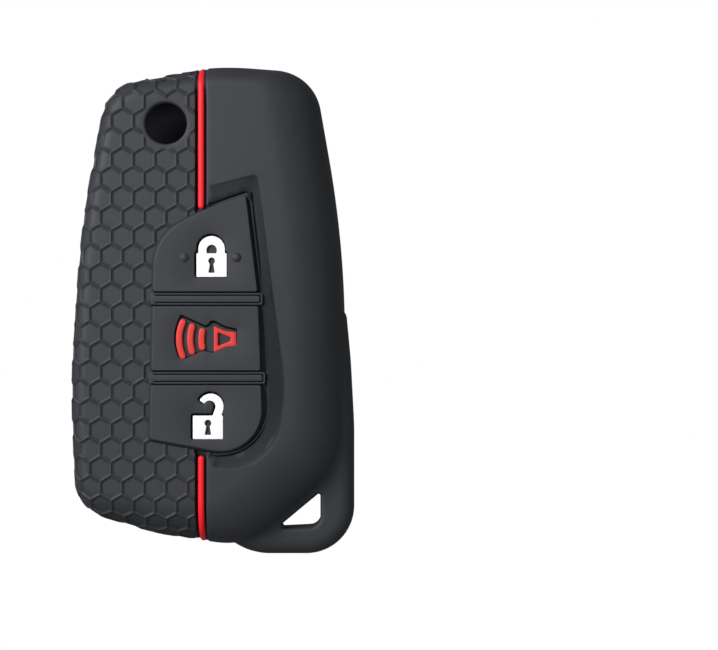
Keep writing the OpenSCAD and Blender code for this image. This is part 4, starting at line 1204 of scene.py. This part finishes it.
# ---------------------------------------------------------------- Buttons
# Three raised buttons of the same moulding, with a rounded top edge and a sloping foot on the
# gripped side. Each has a sunk pocket for its coloured symbol.
edge_r, flat_in, foot_under, button_step = 0.16, 0.12, 0.02, 0.5
pocket_sink, pocket_lip, pocket_shade, shade_fade, symbol_set = 0.6, 0.13, 0.3, 0.12, 0.1


def softened(points, r, count=4):
    """A closed loop with each corner rounded, whichever way it turns."""
    points = np.asarray(points, float)
    loop = []
    for before, p, after in zip(np.roll(points, 1, 0), points, np.roll(points, -1, 0)):
        to_a, to_b = before - p, after - p
        a = p + to_a * min(0.45, r / max(np.linalg.norm(to_a), 1e-9))
        b = p + to_b * min(0.45, r / max(np.linalg.norm(to_b), 1e-9))
        loop += [(1 - t) ** 2 * a + 2 * t * (1 - t) * p + t * t * b for t in np.linspace(0, 1, count)]
    return np.array(loop)


def arc(cx, cy, r, start, end, count=16):
    """Points on a circle between two angles in degrees."""
    a = np.radians(np.linspace(start, end, count))
    return [(cx + r * math.cos(t), cy + r * math.sin(t)) for t in a]


lock_w, lock_l = 5.12, 4
case_x, case_y = lock_w / 2, lock_l / 2
case = [(-case_x, -case_y), (case_x, -case_y), (case_x, case_y)]
padlock = {
    "lock": [*case, (2.25, case_y), *arc(0, case_y + 0.69, 2.25, 0, 180, 28), (-2.25, case_y),
             (-case_x, case_y)],
    "unlock": [*case, (2.3, case_y), *arc(0.48, case_y + 1.54, 2.18, -15, 152, 24),
               *arc(0.28, case_y + 1.54, 1, 152, -15, 16), (0.8, case_y), (-case_x, case_y)]}
bow_hole = [(-0.865, case_y), (0.865, case_y), *arc(0, case_y + 0.6, 0.865, 0, 180, 16)]
keyhole = [(-0.55, -1.28), (0.55, -1.28), *arc(0, 0.72, 0.57, -60, 240, 20)]
horn = [(0, -2.25), (1.95, -1.375), (3.8, -1.175), (3.8, 1.175), (1.95, 1.375), (0, 2.25)]
horn_hole = [(0.7, -1.15), (2.8, -0.325), (2.8, 0.325), (0.7, 1.15)]
wave_r, wave_tip = 7, 0.55
waves = [(-5.9, 2.89), (-4.02, 2.13), (-2.11, 1.39)]


def wave(at, half):
    """One curved sound wave with round ends, from its middle's place and half its height."""
    cx, reach = at + wave_r, math.degrees(math.asin(half / wave_r))
    low, high = (math.radians(180 + turn) for turn in (reach, -reach))
    return [*arc(cx, 0, wave_r + wave_tip, 180 - reach, 180 + reach),
            *arc(cx + wave_r * math.cos(low), wave_r * math.sin(low), wave_tip,
                 180 + reach, 360 + reach, 9)[1:-1],
            *arc(cx, 0, wave_r - wave_tip, 180 + reach, 180 - reach),
            *arc(cx + wave_r * math.cos(high), wave_r * math.sin(high), wave_tip,
                 -reach, 180 - reach, 9)[1:-1]]


symbol_at = {"lock": (0.08, 7.73), "panic": (0.45, -4.8), "unlock": (-0.54, -19.74)}


def laid(points, key, soft=0.2):
    """A symbol's line laid on its button, its corners softened."""
    return dense(softened(points, soft) + symbol_at[key], 0.25)


def around(loop, by):
    """A loop at a distance round another, without the folds that inner corners would give it."""
    wide = grown(dense(loop, 0.08), by)
    return dense(wide[distance(wide, loop) > abs(by) * 0.98], 0.25)


pocket_gap, horn_soft = 0.36, 0.4
pocket_shift = np.array((-0.13, 0.15))
horn_pocket = [*arc(1.1, 0, 7.78, 155, 206), (-4.97, -3.7), (-1.7, -2.2), (0, -2.6), (2, -1.65),
               (4.05, -1.35), (4.2, 1.68), (3.15, 1.93), (2, 2.2), (0.3, 3.12), (-0.45, 3.1),
               (-1.1, 2.2), (-5.5, 4.2)]
pockets = {key: around(laid(line, key), pocket_gap) + pocket_shift for key, line in padlock.items()}
pockets["panic"] = laid(horn_pocket, "panic", horn_soft) + pocket_shift


def fill(loop, z, holes=(), lines=()):
    """A flat face at a height."""
    plan, faces = meshed(loop, holes, lines, np.zeros((0, 2)))
    return at_height(plan, z), faces


def button(key):
    """A button from its web up to its top, with its symbol's pocket."""
    guide = key_line(key, 0)
    top, foot, foot_in = (split_like(line, guide, button_step) for line in (
        guide, key_line(key, 1), key_line(key, 1, -foot_under)))
    low = thick - comb_sink
    rise = (key_top - edge_r - low) / (key_top - low)
    edge = foot + (top - foot) * rise
    rings = [at_height(foot_in, web_foot), at_height(foot, low - foot_under), at_height(foot, low),
             at_height(edge, key_top - edge_r)]
    for a in np.linspace(0, math.pi / 2, 7)[1:]:
        ring = grown(edge + (top - foot) * (1 - rise) * math.sin(a), -edge_r * (1 - math.cos(a)))
        rings.append(at_height(ring, key_top - edge_r * (1 - math.sin(a))))
    flat = grown(top, -edge_r - flat_in)
    hole = pockets[key]
    floor = grown(hole, -pocket_lip)
    shades = [around(floor, -pocket_shade), around(floor, -pocket_shade - shade_fade)]
    pocket_wall = [at_height(grown(hole, -pocket_lip * math.sin(a)),
                             key_top - pocket_lip * (1 - math.cos(a)))
                   for a in np.linspace(0, math.pi / 2, 4)]
    return [banded([*rings, at_height(flat, key_top)]), fill(foot_in, web_foot), fill(flat, key_top, [hole]),
            banded([*pocket_wall, at_height(floor, key_top - pocket_sink)]),
            fill(floor, key_top - pocket_sink, lines=[np.vstack([line, line[:1]]) for line in shades])]


# Painted shade: the floor at the foot of each pocket's wall is painted darker, most along its upper and left
# sides where the wall's shadow falls, and so is the button's slope along the pad's slanted top, where a line
# of shade lies
pocket_painted_shade, pocket_lee, lee_share = 0.97, [(-0.45, 0), (0, 0.5)], 0.75
pocket_depth, top_depth, lit_share, shaded_share = (0.02, 0.2), (0.1, 0.4), 0.9, 1.1
top_side, top_side_w = np.array([pad_corners[3], pad_corners[4]]), 0.7
for key in keys:
    cap = piece(f"{key}_button_cap", button(key), black, body=f"{key}_key",
                replaces=[f"{key}_button"], sharp=50)
    spots = spots_of(cap)
    plan, depth = spots[:, :2], key_top - spots[:, 2]
    hole = pockets[key]
    painted_shade = inside(plan, grown(hole, 0.02)) * smooth(depth, *pocket_depth)
    lit = inside(plan + pocket_lee[0], hole) & inside(plan + pocket_lee[1], hole)
    painted_shade *= distance(plan, hole) < pocket_lip + pocket_shade * np.where(lit, lit_share, shaded_share)
    painted_shade *= np.where(lit, lee_share, 1)
    painted_shade = np.maximum(painted_shade, (distance(plan, top_side, False) < top_side_w) * smooth(depth, *top_depth))
    keep_values(cap.data, "painted_shade", pocket_painted_shade * painted_shade)

# ---------------------------------------------------------------- Symbols
# Flat inlays of coloured silicone that lie in the buttons' pockets: white padlocks, and a red
# horn with three waves, with slightly rounded edges.
white = silicone("silicone_white", (0.78, 0.78, 0.79), (0.86, 0.86, 0.87), 0.45, dust=0, bump=0.03)
coral = silicone("silicone_coral", (0.52, 0.026, 0.022), (0.6, 0.036, 0.032), 0.5, dust=0.1, bump=0.03)


def inlay(outer, holes=(), low=key_top - pocket_sink, high=key_top - symbol_set, bevel=0.08):
    """A flat solid with rounded top edges."""
    def walls(loop, way):
        return banded([at_height(loop, low)] + [
            at_height(grown(loop, way * bevel * (1 - math.cos(a))), high - bevel * (1 - math.sin(a)))
            for a in np.linspace(0, math.pi / 2, 4)])
    return [walls(outer, -1), *[walls(hole, 1) for hole in holes],
            fill(grown(outer, -bevel), high, [grown(hole, bevel) for hole in holes]),
            fill(outer, low, holes)]


piece("padlock_closed", inlay(laid(padlock["lock"], "lock"), [laid(bow_hole, "lock"), laid(keyhole, "lock")]),
      white, body="lock_key", replaces=["lock_symbol"], sharp=50)
piece("padlock_open", inlay(laid(padlock["unlock"], "unlock"), [laid(keyhole, "unlock")]),
      white, body="unlock_key", replaces=["unlock_symbol"], sharp=50)
piece("horn", inlay(laid(horn, "panic"), [laid(horn_hole, "panic")], bevel=0.15),
      coral, body="panic_key", replaces=["horn_symbol"], sharp=50)
piece("horn_waves", sum([inlay(laid(wave(*size), "panic"), bevel=0.22) for size in waves], []),
      coral, body="panic_key", replaces=["sound_waves"], sharp=50)

# ---------------------------------------------------------------- Tactile dots
# Two low domes moulded on the upper button, one on each side of the padlock, for the thumb.
dot_r, dot_rise, dot_foot, dot_tip, dot_root = 0.73, 0.4, 0.12, 0.02, 0.1
dot_at = [(-4.55, 9.03), (4.3, 9.03)]


def dome(at):
    """One dot, with a small hollow round its foot."""
    rings = []
    for share in np.linspace(0, 1, 9)[:-1]:
        turn = share * math.pi / 2
        r = dot_r * math.cos(turn) + dot_foot * (1 - smooth(share, 0, 0.25))
        rings.append(at_height(oval(*at, r, r, 28), key_top + dot_rise * math.sin(turn) ** 1.3))
    rings.append(at_height(oval(*at, dot_tip, dot_tip, 28), key_top + dot_rise))
    foot, tip = rings[0][:, :2], rings[-1][:, :2]
    return [banded([at_height(foot, key_top - dot_root), *rings]), fill(foot, key_top - dot_root),
            fill(tip, key_top + dot_rise)]


piece("thumb_dots", sum(map(dome, dot_at), []), black, body="lock_key",
      replaces=["tactile_dots"], sharp=70)

# ---------------------------------------------------------------- Divider bars
# Two low ribs between the buttons, part of the skin. A narrower lip runs round each rib, and its
# end on the gripped side closes both grooves.
bar_rise, bar_root, bar_in = 0.55, 0.05, 0.05
cap_w, cap_in, overhang = 0.45, 0.22, 0.3
lip_in, lip_out, lip_start, lip_r = 0.15, 0.46, 0.3, 0.4
lip_drop, cap_drop, bar_bevel, cap_bevel = 0.1, 0.02, 0.12, 0.2


def rounded_box(x0, x1, y0, y1, r=0.3):
    """A rectangle's outline with small round corners."""
    return dense(outline([(x0, y0), (x1, y0), (x1, y1), (x0, y1)], [r] * 4, least=0.02, fine=15)[0], 0.6)


for name, y in (("upper", panic_end), ("lower", unlock_end)):
    middle = y + key_step / 2
    left, right = pad_left(middle) - draft, float(pad_right(middle)) + overhang
    low, high = y + seam_w, y + seam_w + bar_w
    bar = rounded_box(left + bar_in, right, low, high)
    frame_in = rounded_box(left + cap_w, right + lip_in, low - lip_in, high + lip_in)
    frame_out = rounded_box(left + lip_start, right + lip_out, low - lip_out, high + lip_out, lip_r)
    cap = rounded_box(left, left + draft + cap_w, y + cap_in, y + key_step - cap_in)
    bottom, top = thick - pad_sink - bar_root, thick + bar_rise
    piece(f"divider_{name}", inlay(bar, (), bottom, top, bar_bevel)
          + inlay(frame_out, [frame_in], bottom, top - lip_drop)
          + inlay(cap, (), bottom, top - cap_drop, cap_bevel), black, replaces=[f"{name}_divider"], sharp=50)

# ---------------------------------------------------------------- Pad rim
# A fine raised edge beside the buttons on the plain side, part of the skin. It fades out under
# the lowest button and runs into the pad's upper corner.
crest_y = [-26, -22, -16, 4, 10]
crest_rise = [-0.1, -0.1, -0.14, -0.1, 0.08]
crest_shade_y = [-24, -20, -16, -14, -12, -9, 14, 17]
crest_shade = [0, 0.3, 0.45, 0.3, 0.15, 0.62, 0.62, 0.35]
crest_shape = [(0, -1.2), (0, -0.12), (0.1, -0.04), (0.3, 0), (0.7, 0), (0.9, -0.04), (1, -0.12), (1, -1.2)]
start_x, turn_off_y, key_clear, top_out = 0.2, 17, 0.03, 0.05
start_fall, start_run, corner_fall, corner_run = 0.4, 3, 0.45, (0.5, 1.7)
end_below, end_fall, end_run = 0.01, 0.1, (-0.01, 0.12)
start = int(np.argmin(np.abs(rim_line[:, 0] - start_x) + (rim_line[:, 1] > pad_y + 3) * 100))
turn_off = int(np.argmin(np.abs(rim_line[:, 1] - turn_off_y) + (rim_line[:, 0] < 0) * 100))
path = (rim_line[start:turn_off + 1] if turn_off > start
        else np.vstack([rim_line[start:], rim_line[:turn_off + 1]]))
onwards = unit(path[-1] - path[-4])
top_way = unit(np.array(pad_corners[3]) - np.array(pad_corners[4]))
top_at = np.array(pad_corners[3]) + turned(top_way) * top_out
reach = np.cross(top_at - path[-1], top_way) / np.cross(onwards, top_way)
path = np.vstack([path, path[-1] + onwards * np.linspace(0, reach, 12)[1:, None]])
run = lengths(path)
rest = run[-1] - run
along = unit(np.gradient(path, axis=0))
across = -turned(along)
lean = across @ top_way
lean = np.sqrt(1 - lean ** 2) / lean * (rest < 2)
near_corner = 1 - smooth(rest, *corner_run)
crest = thick + np.interp(path[:, 1], crest_y, crest_rise) - start_fall * (1 - smooth(run, 0, start_run))
crest += (thick + key_rise - end_below - crest) * near_corner - end_fall * (1 - smooth(rest, *end_run))
inner = -rim_w / 2 - (rim_gap - key_clear) * near_corner
points = []
for p, way, n, a, z, skew, joined in zip(path, along, across, inner, crest, lean, near_corner):
    for t, dz in crest_shape:
        off = a + (rim_w / 2 - a) * t
        points.append((*(p + n * off + way * skew * off), z + dz - corner_fall * t * joined))
count = len(crest_shape)
last = (len(path) - 1) * count
faces = [(i + k, i + (k + 1) % count, i + count + (k + 1) % count, i + count + k)
         for i in range(0, last, count) for k in range(count)]
faces += [tuple(range(count)), tuple(last + k for k in range(count))]
edge = piece("pad_edge", [(points, faces)], black, replaces=["pad_rim"], sharp=60)
# Painted shade on the rim where the buttons shade it, varying along its length
keep_values(edge.data, "painted_shade", np.interp(spots_of(edge)[:, 1], crest_shade_y, crest_shade))
